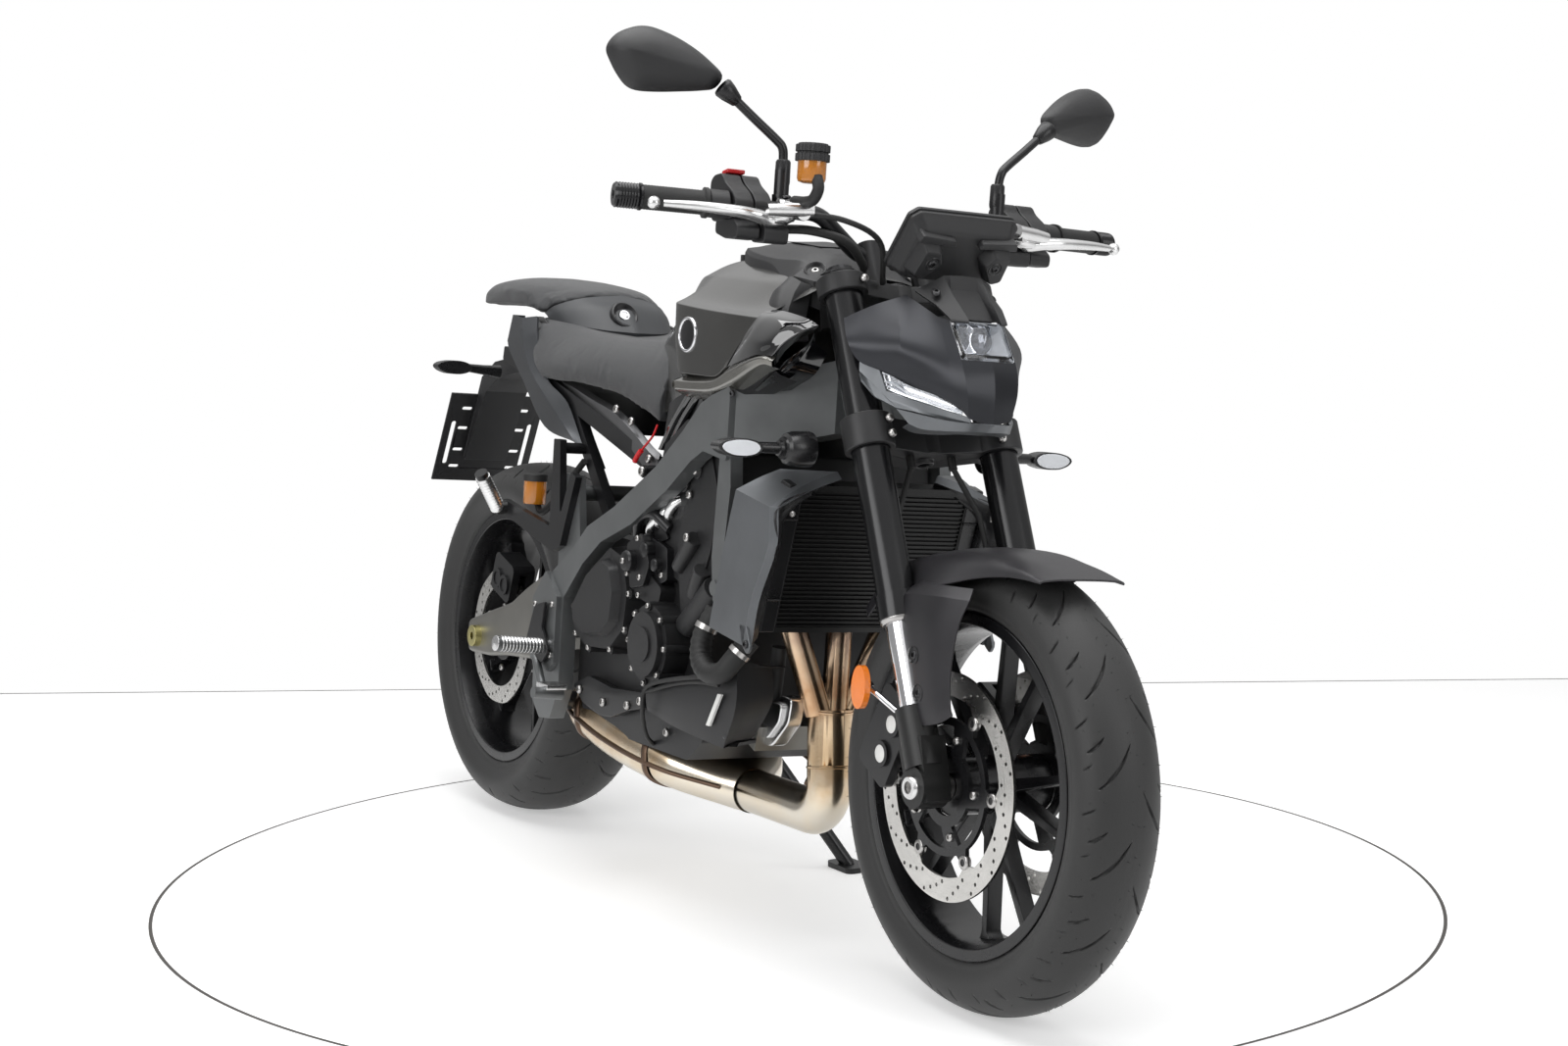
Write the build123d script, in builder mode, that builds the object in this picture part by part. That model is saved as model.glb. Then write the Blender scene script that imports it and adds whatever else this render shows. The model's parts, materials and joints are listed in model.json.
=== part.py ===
# Standard motorcycle, parked on its side stand, in millimetres.
# Every piece is drawn on the upright machine: X forward from the rear axle, Y to the rider's left,
# Z up from the ground. The last section leans the finished machine onto its stand.
from build123d import *
from math import cos, pi, radians, sin
import os

os.makedirs("parts", exist_ok=True)

# Driving dimensions of the chassis
pivot_to_front = 1000
swingarm_reach = 430
wheelbase = swingarm_reach + pivot_to_front
rake = 24.67
fork_offset = 27.1
lean = 4.5
seat_gap = 0.3
running_gap = 0.5

# Wheels: tyre 120/70-17 in front, 180/55-17 behind
front_tyre_radius = 300
front_tyre_half = 60
rear_tyre_radius = 315
rear_tyre_half = 90
flange_radius = 226
bead_radius = flange_radius - 10
flange_thickness = 4
rim_wall = 9
front_rim_half = 52
rear_rim_half = 74
front_disc_radius = 149
rear_disc_radius = 122.5
disc_thickness = 4.5
front_disc_y = 74
rear_disc_y = -77
front_axle_radius = 11
rear_axle_radius = 12.5

# Fork
fork_spacing = 210
fork_tube_radius = 20.5
fork_outer_radius = 26
fork_lead = 6

# Final drive: pitch radii and the chain's place across the machine
chain_y = 104
chain_width = 18
chain_height = 13
rear_pitch_radius = 113.8
front_pitch_radius = 40.7
pivot_x = swingarm_reach
output_x = pivot_x + 75
output_z = 395
pivot_z = 390

front_axle_z = front_tyre_radius
rear_axle_z = rear_tyre_radius


def across(y):
    """Vertical plane along the machine at y, drawn as (x, z)."""
    return Plane.XZ.offset(-y)


def station(x):
    """Vertical plane across the machine at x, drawn as (y, z)."""
    return Plane.YZ.offset(x)


# Steering axis: local X forward of the axis, local Z up along it, origin level with the front axle
axis_dir = (-sin(radians(rake)), 0, cos(radians(rake)))
axis_fwd = (cos(radians(rake)), 0, sin(radians(rake)))
axis_origin = (
    wheelbase - fork_offset * axis_fwd[0],
    0,
    front_axle_z - fork_offset * axis_fwd[2],
)
fork_plane = Plane(origin=axis_origin, x_dir=axis_fwd, z_dir=axis_dir)
fork_x = fork_offset + fork_lead
fork_y = fork_spacing / 2


def on_fork(height):
    """Plane square to the steering axis, at a height along it."""
    return fork_plane.offset(height)


def fork_side(y):
    """Plane along the machine at y, drawn as (forward of the steering axis, up along it)."""
    return Plane(
        origin=fork_plane.from_local_coords((0, y, 0)), x_dir=axis_fwd, z_dir=(0, -1, 0)
    )


# ---- Wheels ---------------------------------------------------------------------------------


def tyre(axle_x, axle_z, radius, half, rim_half):
    """Solid tyre ring: round crown, sidewalls, and a bead between the rim flanges."""
    bead = rim_half - flange_thickness - seat_gap
    inner = bead_radius + seat_gap
    shoulder = flange_radius + seat_gap
    centre = Plane(origin=(axle_x, 0, axle_z), x_dir=(0, 1, 0), z_dir=(1, 0, 0))
    with BuildPart() as ring:
        with BuildSketch(centre):
            with BuildLine():
                foot = Polyline((-bead, shoulder), (-bead, inner), (bead, inner), (bead, shoulder))
                Spline(
                    foot @ 1,
                    (half * 0.985, shoulder + 0.33 * (radius - shoulder)),
                    (half * 0.80, shoulder + 0.72 * (radius - shoulder)),
                    (0, radius),
                    (-half * 0.80, shoulder + 0.72 * (radius - shoulder)),
                    (-half * 0.985, shoulder + 0.33 * (radius - shoulder)),
                    foot @ 0,
                )
            make_face()
        revolve(axis=Axis((axle_x, 0, axle_z), (0, 1, 0)))
    return ring


def wheel(axle_x, axle_z, rim_half, hub_radius, hub_right, hub_left, bore, spoke_half):
    """Cast wheel: flanged barrel, hub between two end faces, five forked spokes."""
    centre = Plane(origin=(axle_x, 0, axle_z), x_dir=(0, 1, 0), z_dir=(1, 0, 0))
    barrel_inner = bead_radius - rim_wall
    with BuildPart() as rim:
        with BuildSketch(centre):
            with BuildLine():
                Polyline(
                    (-rim_half, flange_radius),
                    (-rim_half, barrel_inner + 3),
                    (-rim_half * 0.55, barrel_inner - 6),
                    (rim_half * 0.55, barrel_inner - 6),
                    (rim_half, barrel_inner + 3),
                    (rim_half, flange_radius),
                    (rim_half - flange_thickness, flange_radius),
                    (rim_half - flange_thickness, bead_radius),
                    (-rim_half + flange_thickness, bead_radius),
                    (-rim_half + flange_thickness, flange_radius),
                    (-rim_half, flange_radius),
                )
            make_face()
        revolve(axis=Axis((axle_x, 0, axle_z), (0, 1, 0)))
        with BuildSketch(Plane(origin=(axle_x, hub_right, axle_z), x_dir=(1, 0, 0), z_dir=(0, 1, 0))):
            Circle(hub_radius)
        extrude(amount=hub_left - hub_right)
        spoke_end = barrel_inner - 4
        with BuildSketch(Plane(origin=(axle_x, -spoke_half, axle_z), x_dir=(1, 0, 0), z_dir=(0, 1, 0))):
            with PolarLocations(0, 5):
                for turn in (-1, 1):
                    with Locations(Rotation(0, 0, turn * 9)):
                        Polygon(
                            (hub_radius - 6, -turn * 2 - 9),
                            (hub_radius - 6, -turn * 2 + 9),
                            ((hub_radius + spoke_end) / 2, turn * 6 + 6.5),
                            (spoke_end - 14, turn * 13 + 5.5),
                            (spoke_end, turn * 13 + 12),
                            (spoke_end, turn * 13 - 12),
                            (spoke_end - 14, turn * 13 - 5.5),
                            ((hub_radius + spoke_end) / 2, turn * 6 - 6.5),
                            align=None,
                        )
        extrude(amount=2 * spoke_half)
        with BuildSketch(Plane(origin=(axle_x, hub_right - 1, axle_z), x_dir=(1, 0, 0), z_dir=(0, 1, 0))):
            Circle(bore)
        extrude(amount=hub_left - hub_right + 2, mode=Mode.SUBTRACT)
    return rim


def brake_disc(axle_x, axle_z, y, radius, band, seat_radius, arms):
    """Disc band carried by a star of arms on a seat ring that bolts to the hub."""
    with BuildPart() as disc:
        with BuildSketch(
            Plane(origin=(axle_x, y - disc_thickness / 2, axle_z), x_dir=(1, 0, 0), z_dir=(0, 1, 0))
        ):
            Circle(radius)
            Circle(radius - band, mode=Mode.SUBTRACT)
            Circle(seat_radius + 12)
            with PolarLocations(0, arms):
                with Locations((radius - band + 2 - (radius - band - seat_radius) / 2, 0)):
                    Rectangle(radius - band - seat_radius, 13)
            Circle(seat_radius - 9, mode=Mode.SUBTRACT)
        extrude(amount=disc_thickness)
    return disc


front_tyre = tyre(wheelbase, front_axle_z, front_tyre_radius, front_tyre_half, front_rim_half)
rear_tyre = tyre(0, rear_axle_z, rear_tyre_radius, rear_tyre_half, rear_rim_half)

front_hub_half = front_disc_y - disc_thickness / 2
front_rim = wheel(
    wheelbase, front_axle_z, front_rim_half, 38, -front_hub_half, front_hub_half,
    front_axle_radius + running_gap, 12,
)
sprocket_thickness = 8
rear_hub_right = rear_disc_y + disc_thickness / 2
rear_hub_left = chain_y - sprocket_thickness / 2
rear_rim = wheel(
    0, rear_axle_z, rear_rim_half, 44, rear_hub_right, rear_hub_left,
    rear_axle_radius + running_gap, 14,
)
front_discs = []
for side in (-1, 1):
    front_discs.append(
        brake_disc(wheelbase, front_axle_z, side * front_disc_y, front_disc_radius, 31, 38, 10)
    )
rear_disc = brake_disc(0, rear_axle_z, rear_disc_y, rear_disc_radius, 32, 40, 5)

sprocket_tip = rear_pitch_radius - seat_gap
with BuildPart() as rear_sprocket:
    with BuildSketch(
        Plane(origin=(0, rear_hub_left, rear_axle_z), x_dir=(1, 0, 0), z_dir=(0, 1, 0))
    ):
        Circle(sprocket_tip)
        with PolarLocations(76, 5):
            Circle(17, mode=Mode.SUBTRACT)
        Circle(rear_axle_radius + running_gap + 8, mode=Mode.SUBTRACT)
    extrude(amount=sprocket_thickness)


# ---- Shared ways of making pieces -----------------------------------------------------------


def pipe(points, radius, bend, wall=0):
    """Tube along straight runs with equal bends; must be called inside a BuildPart."""
    with BuildLine() as route:
        if len(points) > 2:
            FilletPolyline(*points, radius=bend)
        else:
            Line(*points)
    start = route.line @ 0
    with BuildSketch(Plane(origin=start, z_dir=route.line % 0)) as section:
        Circle(radius)
        if wall:
            Circle(radius - wall, mode=Mode.SUBTRACT)
    sweep(section.sketch, path=route.line)


def slab(points, low_y, high_y, corner=0, mode=Mode.ADD):
    """Plate along the machine between two y values, its outline drawn as (x, z)."""
    with BuildSketch(across(low_y)) as outline:
        Polygon(*points, align=None)
        if corner:
            fillet(outline.vertices(), corner)
    extrude(outline.sketch, amount=low_y - high_y, mode=mode)


def raised(points, side, inner_y, outer_y, corner, taper):
    """Cover standing off one side of the machine, its walls drawn in by a taper in degrees."""
    base = Plane(origin=(0, side * inner_y, 0), x_dir=(1, 0, 0), z_dir=(0, side, 0))
    with BuildSketch(base) as outline:
        Polygon(*((x, -side * z) for x, z in points), align=None)
        fillet(outline.vertices(), corner)
    extrude(outline.sketch, amount=outer_y - inner_y, taper=taper)


def both(points, inner_y, outer_y, corner=0, mode=Mode.ADD):
    """The same plate on the right and on the left side."""
    slab(points, -outer_y, -inner_y, corner, mode)
    slab(points, inner_y, outer_y, corner, mode)


def rod(start, end, radius, mode=Mode.ADD):
    """Round bar between two points."""
    span = Vector(*end) - Vector(*start)
    with BuildSketch(Plane(origin=start, z_dir=span)) as section:
        Circle(radius)
    extrude(section.sketch, amount=span.length, mode=mode)


def along_y(x, z, low_y, high_y, radius, mode=Mode.ADD):
    """Round bar across the machine."""
    rod((x, low_y, z), (x, high_y, z), radius, mode)


def fork_bar(forward, y, low, high, radius, mode=Mode.ADD):
    """Round bar along the steering axis, placed in the fork's own coordinates."""
    with BuildSketch(on_fork(low)) as section:
        with Locations((forward, y)):
            Circle(radius)
    extrude(section.sketch, amount=high - low, mode=mode)


# ---- Steering: clamps, fork, front axle -----------------------------------------------------
stem_radius = 15
head_tube_radius = 31
lower_clamp_low, lower_clamp_high = 462, 508
top_clamp_low, top_clamp_high = 688, 714
head_low = lower_clamp_high + running_gap
head_high = top_clamp_low - running_gap
outer_low = 224
lug_top = 104
lug_radius = 25.5
lug_shift = 2.5
clamp_wall = 9


def clamp(low, high, waist):
    """Fork bridge: two split eyes, joined by a web around the stem."""
    with BuildSketch(on_fork((low + high) / 2)) as bridge:
        with Locations((fork_x, fork_y), (fork_x, -fork_y)):
            Circle(fork_outer_radius + clamp_wall)
        Polygon(
            (fork_x - 24, fork_y), (fork_x - 24, -fork_y), (-waist, -28), (-waist, 28), align=None
        )
        Polygon(
            (fork_x - 30, fork_y - 6), (fork_x + 14, fork_y - 20), (fork_x - 4, 0),
            (fork_x + 14, 20 - fork_y), (fork_x - 30, 6 - fork_y), align=None,
        )
        Circle(34)
    extrude(bridge.sketch, amount=(high - low) / 2, both=True)


with BuildPart() as triple_clamps:
    clamp(lower_clamp_low, lower_clamp_high, 24)
    clamp(top_clamp_low, top_clamp_high, 26)
    for y in (-fork_y, fork_y):
        fork_bar(fork_x, y, lower_clamp_low - 1, top_clamp_high + 1, fork_outer_radius, Mode.SUBTRACT)
    fork_bar(0, 0, lower_clamp_low - 6, top_clamp_high + 12, stem_radius)
    fork_bar(0, 0, top_clamp_high, top_clamp_high + 9, 22)
    fork_bar(0, 0, lower_clamp_low - 7, top_clamp_high + 13, 8, Mode.SUBTRACT)

reflector_x, reflector_y, reflector_z = 1312, 136, 413
fork_outers = []
fork_legs = []
lug_inner_y = fork_y - 19
lug_outer_y = fork_y + 23
for side in (-1, 1):
    with BuildPart() as outer:
        fork_bar(fork_x, side * fork_y, outer_low, top_clamp_high + 6, fork_outer_radius)
        fork_bar(fork_x, side * fork_y, outer_low, outer_low + 34, fork_outer_radius + 2.5)
        fork_bar(fork_x, side * fork_y, top_clamp_high, top_clamp_high + 9, fork_outer_radius - 5)
        fork_bar(
            fork_x, side * fork_y, outer_low - 1, outer_low + 60, fork_tube_radius + seat_gap,
            Mode.SUBTRACT,
        )
    fork_outers.append(outer)
    with BuildPart() as leg:
        fork_bar(fork_x, side * fork_y, 40, outer_low + 59, fork_tube_radius)
        fork_bar(fork_x, side * (fork_y + lug_shift), 24, lug_top, lug_radius)
        with BuildSketch(fork_side(side * fork_y - 19)):
            Polygon(
                (fork_x - 27, 60), (fork_x + 27, 60), (fork_offset + 22, -24), (fork_offset - 22, -24),
                align=None,
            )
        extrude(amount=-38)
        low_y, high_y = sorted((side * lug_inner_y, side * lug_outer_y))
        along_y(wheelbase, front_axle_z, low_y, high_y, 27)
        along_y(wheelbase, front_axle_z, low_y - 1, high_y + 1, front_axle_radius, Mode.SUBTRACT)
        reflector_back = side * (reflector_y - seat_gap)
        pipe(
            [(1390, side * 118, 382), (1334, side * 129, 407), (reflector_x, side * 129, reflector_z)],
            4, 12,
        )
        low_y, high_y = sorted((side * 124, reflector_back))
        along_y(reflector_x, reflector_z, low_y, high_y, 7)
    fork_legs.append(leg)

axle_wall = 3.5
with BuildPart() as front_axle:
    along_y(wheelbase, front_axle_z, -lug_outer_y - 3, lug_outer_y + 3, front_axle_radius)
    for side in (-1, 1):
        low_y, high_y = sorted((side * (front_hub_half + running_gap), side * lug_inner_y))
        along_y(wheelbase, front_axle_z, low_y, high_y, 17)
    along_y(
        wheelbase, front_axle_z, -lug_outer_y - 4, lug_outer_y + 4, front_axle_radius - axle_wall,
        Mode.SUBTRACT,
    )


# ---- Steering: front brakes, fender, lamps, bar ---------------------------------------------
caliper_gap = 5
pad_gap = 0.5
caliper_half = 21
piston_radius, piston_spread = 15, 0.19


def caliper(axle_x, axle_z, disc_y, angle, inner_radius, outer_radius, length, shift):
    """Opposed-piston caliper: two halves joined outside the disc, with a pad at each face."""
    turned = Plane(
        origin=(axle_x, disc_y, axle_z),
        x_dir=(cos(radians(angle)), 0, sin(radians(angle))), z_dir=(0, -1, 0),
    )
    slot = disc_thickness / 2 + caliper_gap
    middle = (inner_radius + outer_radius) / 2
    with BuildPart() as body:
        with BuildSketch(turned.offset(-caliper_half)) as outline:
            with Locations((middle, shift)):
                RectangleRounded(outer_radius - inner_radius, length, 12)
        extrude(outline.sketch, amount=2 * caliper_half)
        outward = -1 if disc_y > 0 else 1
        with BuildSketch(turned.offset(outward * (caliper_half - 1))) as domes:
            for along in (-1, 1):
                with Locations((middle - 8, shift + along * piston_spread * length)):
                    Circle(piston_radius + 3)
        extrude(domes.sketch, amount=outward * 5)
        with BuildSketch(turned.offset(outward * (caliper_half + 2))) as dimples:
            for along in (-1, 1):
                with Locations((middle - 8, shift + along * piston_spread * length)):
                    Circle(piston_radius - 3)
        extrude(dimples.sketch, amount=outward * 3, mode=Mode.SUBTRACT)
        with BuildSketch(turned.offset(-slot)) as gap:
            with Locations((middle - 14, shift)):
                Rectangle(outer_radius - inner_radius, length + 2)
        extrude(gap.sketch, amount=2 * slot, mode=Mode.SUBTRACT)
        for face in (-1, 1):
            low = face * (disc_thickness / 2 + pad_gap)
            high = face * slot
            with BuildSketch(turned.offset(low)) as pad:
                with Locations((middle - 8, shift)):
                    Rectangle(30, length * 0.6)
            extrude(pad.sketch, amount=high - low)
    return body


front_calipers = []
for side in (-1, 1):
    front_calipers.append(
        caliper(wheelbase, front_axle_z, side * front_disc_y, 152, 92, 168, 128, 16)
    )

fender_inner = front_tyre_radius + 14
fender_wall = 3
fender_start, fender_sweep = 158, 98
plate_y = 116
fender_plane = Plane(
    origin=(wheelbase, 0, front_axle_z), x_dir=(0, 1, 0),
    z_dir=(sin(radians(fender_start)), 0, -cos(radians(fender_start))),
)
with BuildPart() as front_fender:
    with BuildSketch(fender_plane) as arch:
        with BuildLine():
            Polyline((-70, 276), (-68, 296), (-46, fender_inner), (46, fender_inner), (68, 296), (70, 276))
            Polyline(
                (70, 276), (70 + fender_wall, 276), (71, 298), (48, fender_inner + fender_wall),
                (-48, fender_inner + fender_wall), (-71, 298), (-70 - fender_wall, 276), (-70, 276),
            )
        make_face()
    revolve(arch.sketch, axis=Axis((wheelbase, 0, front_axle_z), (0, 1, 0)), revolution_arc=fender_sweep)
    both(
        ((1364, 534), (1368, 583), (1478, 583), (1474, 548), (1464, 456), (1476, 400), (1428, 379),
         (1416, 404), (1398, 452)),
        plate_y, plate_y + 4,
    )
    both(((1372, 574), (1474, 574), (1474, 583), (1372, 583)), 69, plate_y + 1)
    for side in (-1, 1):
        lug_front = fork_x + lug_radius + seat_gap
        rod(
            tuple(fork_plane.from_local_coords((lug_front, side * (plate_y - 4), 97))),
            tuple(fork_plane.from_local_coords((lug_front + 16, side * (plate_y - 4), 97))), 6,
        )

reflectors = []
for side in (-1, 1):
    face_plane = Plane(
        origin=(reflector_x, side * reflector_y, reflector_z), x_dir=(1, 0, 0), z_dir=(0, side, 0)
    )
    with BuildPart() as reflector:
        with BuildSketch(face_plane) as oval:
            Ellipse(17, 29)
        extrude(oval.sketch, amount=9)
    reflectors.append(reflector)


def cowl_section(x, lower, side_low, side_high, top):
    """Six-cornered section of the lamp cowl in the plane at x, the same on both sides."""
    right = [lower, side_low, side_high, top]
    points = [(-y, z) for y, z in right] + [(y, z) for y, z in reversed(right)]
    with BuildSketch(station(x)) as section:
        Polygon(*points, align=None)
    return section.sketch


cowl_wall = 4
with BuildPart() as headlight_cowl:
    loft(
        [
            cowl_section(1350, (30, 776), (42, 800), (46, 840), (40, 848)),
            cowl_section(1322, (38, 764), (92, 806), (66, 880), (42, 889)),
            cowl_section(1268, (42, 768), (136, 836), (128, 874), (54, 906)),
            cowl_section(1196, (58, 850), (139, 852), (138, 880), (50, 913)),
        ],
        ruled=True,
    )
    loft(
        [
            cowl_section(1344, (26, 782), (36, 802), (40, 834), (34, 842)),
            cowl_section(1318, (34, 740), (86, 800), (61, 876), (38, 884)),
            cowl_section(1268, (38, 740), (132, 800), (124, 871), (51, 902)),
            cowl_section(1195, (54, 800), (135, 800), (134, 877), (47, 909)),
        ],
        ruled=True, mode=Mode.SUBTRACT,
    )
    slab(((1300, 850), (1352, 850), (1352, 888), (1300, 888)), -42, 42, mode=Mode.SUBTRACT)

with BuildPart() as headlight:
    slab(((1236, 851), (1334, 851), (1316, 884), (1236, 884)), -41.5, 41.5)
    slab(((1236, 851), (1262, 851), (1262, 800), (1250, 772), (1238, 772)), -30, 30)

display_tilt = 49.6
display_plane = Plane(
    origin=(1238, 0, 1015), x_dir=(0, 1, 0),
    z_dir=(sin(radians(display_tilt)), 0, -cos(radians(display_tilt))),
)
display_depth = 21
with BuildPart() as display:
    with BuildSketch(display_plane) as panel:
        RectangleRounded(174, 100, 10)
    extrude(panel.sketch, amount=display_depth)
    with BuildSketch(display_plane.offset(display_depth)) as step:
        RectangleRounded(154, 82, 8)
    extrude(step.sketch, amount=14, taper=14)
    for side in (-1, 1):
        with BuildSketch(display_plane.offset(display_depth)) as lug:
            Polygon(
                (side * 72, -26), (side * 42, -25), (side * 29, 0), (side * 56, 34), (side * 76, 28),
                align=None,
            )
        extrude(lug.sketch, amount=32, taper=8)
    slab(((1212, 972), (1250, 1004), (1312, 918), (1300, 914), (1262, 916)), -36, 36)
    with BuildSketch(fork_side(16)) as tongue:
        Polygon((34.5, 692), (34.5, 706), (118, 725), (118, 707), align=None)
    extrude(tongue.sketch, amount=32)

bar_radius = 11
bar_bend_y, bar_end_y = 135, 415
bar_bend = (1118, 1040)
bar_end = (1051, 1043)


def bar_point(y):
    """Centre of the handlebar's straight outer run at y, right side negative."""
    share = (abs(y) - bar_bend_y) / (bar_end_y - bar_bend_y)
    return (
        bar_bend[0] + share * (bar_end[0] - bar_bend[0]),
        y,
        bar_bend[1] + share * (bar_end[1] - bar_bend[1]),
    )


riser_f, riser_height, riser_y = 21.7, 45.6, 42
riser_h = top_clamp_high + riser_height
bar_middle = fork_plane.from_local_coords((riser_f, 0, riser_h))
with BuildPart() as handlebar:
    pipe(
        [
            bar_point(-bar_end_y + 8), bar_point(-bar_bend_y),
            (bar_middle.X, -62, bar_middle.Z), (bar_middle.X, 62, bar_middle.Z),
            bar_point(bar_bend_y), bar_point(bar_end_y - 8),
        ],
        bar_radius, 45,
    )
    for y in (-riser_y, riser_y):
        fork_bar(riser_f, y, top_clamp_high, riser_h + 18, 17)

grips = []
switchgear = []
for side in (-1, 1):
    with BuildPart() as grip:
        rod(bar_point(side * 292), bar_point(side * 402), 16.5)
        rod(bar_point(side * 402), bar_point(side * bar_end_y), 17.5)
        rod(bar_point(side * 280), bar_point(side * 408), bar_radius + seat_gap, Mode.SUBTRACT)
    grips.append(grip)
    with BuildPart() as pod:
        rod(bar_point(side * 236), bar_point(side * 290), 25)
        rod(bar_point(side * 230), bar_point(side * 296), bar_radius + seat_gap, Mode.SUBTRACT)
    switchgear.append(pod)

levers = []
for side in (-1, 1):
    root = bar_point(side * 205)
    tip = bar_point(side * 382)
    with BuildPart() as lever:
        with BuildSketch(Plane.XY.offset(root[2] - 7)) as blade:
            Polygon(
                (root[0] + 30, side * 196), (root[0] + 48, side * 200), (root[0] + 52, side * 232),
                (tip[0] + 56, tip[1]), (tip[0] + 46, tip[1] + side * 3), (root[0] + 32, side * 240),
                align=None,
            )
        extrude(blade.sketch, amount=11)
        with BuildSketch(Plane.XY.offset(root[2] - 13)) as perch:
            Polygon(
                (root[0] - 18, side * 172), (root[0] + 22, side * 170), (root[0] + 46, side * 184),
                (root[0] + 46, side * 212), (root[0] - 22, side * 226), align=None,
            )
        extrude(perch.sketch, amount=26)
        with Locations((tip[0] + 51, tip[1], root[2] - 1.5)):
            Sphere(9)
        rod(bar_point(side * 160), bar_point(side * 234), bar_radius + seat_gap, Mode.SUBTRACT)
    levers.append(lever)

reservoir_x, reservoir_y, reservoir_low, reservoir_high = 1172, -190, 1068, 1123
with BuildPart() as brake_reservoir:
    rod((reservoir_x, reservoir_y, reservoir_low), (reservoir_x, reservoir_y, reservoir_high), 18)
    rod((reservoir_x, reservoir_y, reservoir_high - 14), (reservoir_x, reservoir_y, reservoir_high), 20)
    rod((1138, -198, 1054.1), (1138, -198, 1066), 8)
    rod((1138, -198, 1061), (reservoir_x, reservoir_y, reservoir_low + 6), 6)

mirror_y = 186
mirror_outline = (
    (2, 9), (19, 26), (42, 42), (68, 55), (95, 64), (112, 66), (128, 63), (147, 54), (158, 42), (161, 30),
    (155, 16), (146, 1), (133, -14), (118, -20), (92, -20), (60, -17), (28, -13), (10, -8),
)
mirror_middle = (104, 22)


def mirror_section(plane, share):
    """Pear-shaped outline of the mirror head, drawn in by a share about its middle."""
    mid_u, mid_v = mirror_middle
    with BuildSketch(plane) as section:
        with BuildLine():
            Spline(
                *((mid_u + (u - mid_u) * share, mid_v + (v - mid_v) * share) for u, v in mirror_outline),
                periodic=True,
            )
        make_face()
    return section.sketch


mirrors = []
for side in (-1, 1):
    base = bar_point(side * mirror_y)
    foot = base[2] + 13 + seat_gap
    with BuildPart() as mirror:
        pipe(
            [
                (base[0] - 6, side * mirror_y, foot + 2), (base[0] - 6, side * mirror_y, 1128),
                (1074, side * 270, 1197), (1066, side * 292, 1214),
            ],
            6, 12,
        )
        rod((base[0] - 6, side * mirror_y, foot), (base[0] - 6, side * mirror_y, foot + 34), 10.5)
        head = Plane(
            origin=(1070, side * 270, 1207), x_dir=(-0.326, side * 0.946, 0),
            z_dir=(0.946, side * 0.326, 0),
        )
        turn = 1 if head.y_dir.Z > 0 else -1
        head = head if turn > 0 else Plane(origin=head.origin, x_dir=head.x_dir, z_dir=-head.z_dir)
        loft(
            [
                mirror_section(head.offset(-9 * turn), 1), mirror_section(head, 1),
                mirror_section(head.offset(17 * turn), 0.86), mirror_section(head.offset(29 * turn), 0.5),
            ],
            ruled=True,
        )
    mirrors.append(mirror)


# ---- Frame, engine and swingarm -------------------------------------------------------------
spar_inner, spar_outer = 168, 194
pivot_bolt_radius = 10
arm_thickness = 26
right_arm_outer = 120
left_arm_inner = 118
case_half = 150
head_half = 160
stand_pivot = (600, 121, 209)
shock_top_x, shock_top_z = 462, 606

with BuildPart() as frame:
    both(
        (
            (396, 330), (394, 420), (440, 470), (520, 520), (570, 560), (660, 598), (790, 668),
            (870, 726), (920, 768), (950, 780.7), (1005, 796), (1005, 690), (935, 700), (900, 684), (830, 636),
            (720, 576), (620, 540), (560, 500), (498, 440), (496, 290), (470, 240), (430, 236),
            (400, 262),
        ),
        spar_inner, spar_outer, 5,
    )
    for side in (-1, 1):
        with BuildSketch(station(998)) as wide_end:
            Polygon(
                (side * spar_inner, 700), (side * spar_outer, 700), (side * spar_outer, 796),
                (side * spar_inner, 796), align=None,
            )
        with BuildSketch(station(1084)) as narrow_end:
            Polygon(
                (side * 18, 738), (side * 66, 738), (side * 66, 842), (side * 18, 842), align=None
            )
        loft([wide_end.sketch, narrow_end.sketch], ruled=True)
    with BuildSketch(fork_side(28)) as gusset:
        Polygon((-96, head_low + 6), (0, head_low), (0, head_high), (-58, head_high - 6), align=None)
    extrude(gusset.sketch, amount=56)
    fork_bar(0, 0, head_low, head_high, head_tube_radius)
    fork_bar(0, 0, head_low - 1, head_high + 1, stem_radius + running_gap, Mode.SUBTRACT)
    along_y(442, 265, -spar_inner - 1, spar_inner + 1, 15)
    along_y(shock_top_x, shock_top_z, -spar_inner - 1, spar_inner + 1, 13)
    both(((440, 470), (520, 520), (500, 636), (440, 636)), spar_inner, spar_inner + 12)
    both(((976, 716), (969, 551), (980, 488), (996, 488), (1012, 654), (1004, 716)), spar_inner, 188, 4)
    for side in (-1, 1):
        low_y, high_y = sorted((side * (head_half + seat_gap), side * 191))
        along_y(984, 508, low_y, high_y, 11)
    slab(
        ((430, 258), (442, 278), (480, 264), (520, 231), (640, 231), (646, 196), (590, 190), (480, 232)),
        88, 104,
    )
    for y in (-spar_outer - 1, spar_inner - 1):
        along_y(pivot_x, pivot_z, y, y + spar_outer - spar_inner + 2, pivot_bolt_radius + seat_gap,
                Mode.SUBTRACT)

with BuildPart() as engine_case:
    slab(
        (
            (478, 300), (500, 262), (620, 238), (860, 238), (905, 272), (915, 340), (903, 440),
            (830, 496), (700, 541), (570, 548), (520, 500), (476, 430),
        ),
        -case_half, case_half, 10,
    )
    slab(((450, 296), (566, 296), (566, 470), (450, 470)), 88, case_half + 1, mode=Mode.SUBTRACT)
    along_y(output_x, output_z, 80, 100, 22)

with BuildPart() as cylinder_head:
    slab(
        (
            (701, 541.5), (830.5, 496.5), (904, 441), (985, 500), (1000, 540), (1000, 604), (985, 700), (820, 742),
            (752, 700),
        ),
        -head_half, head_half, 6,
    )

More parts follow.
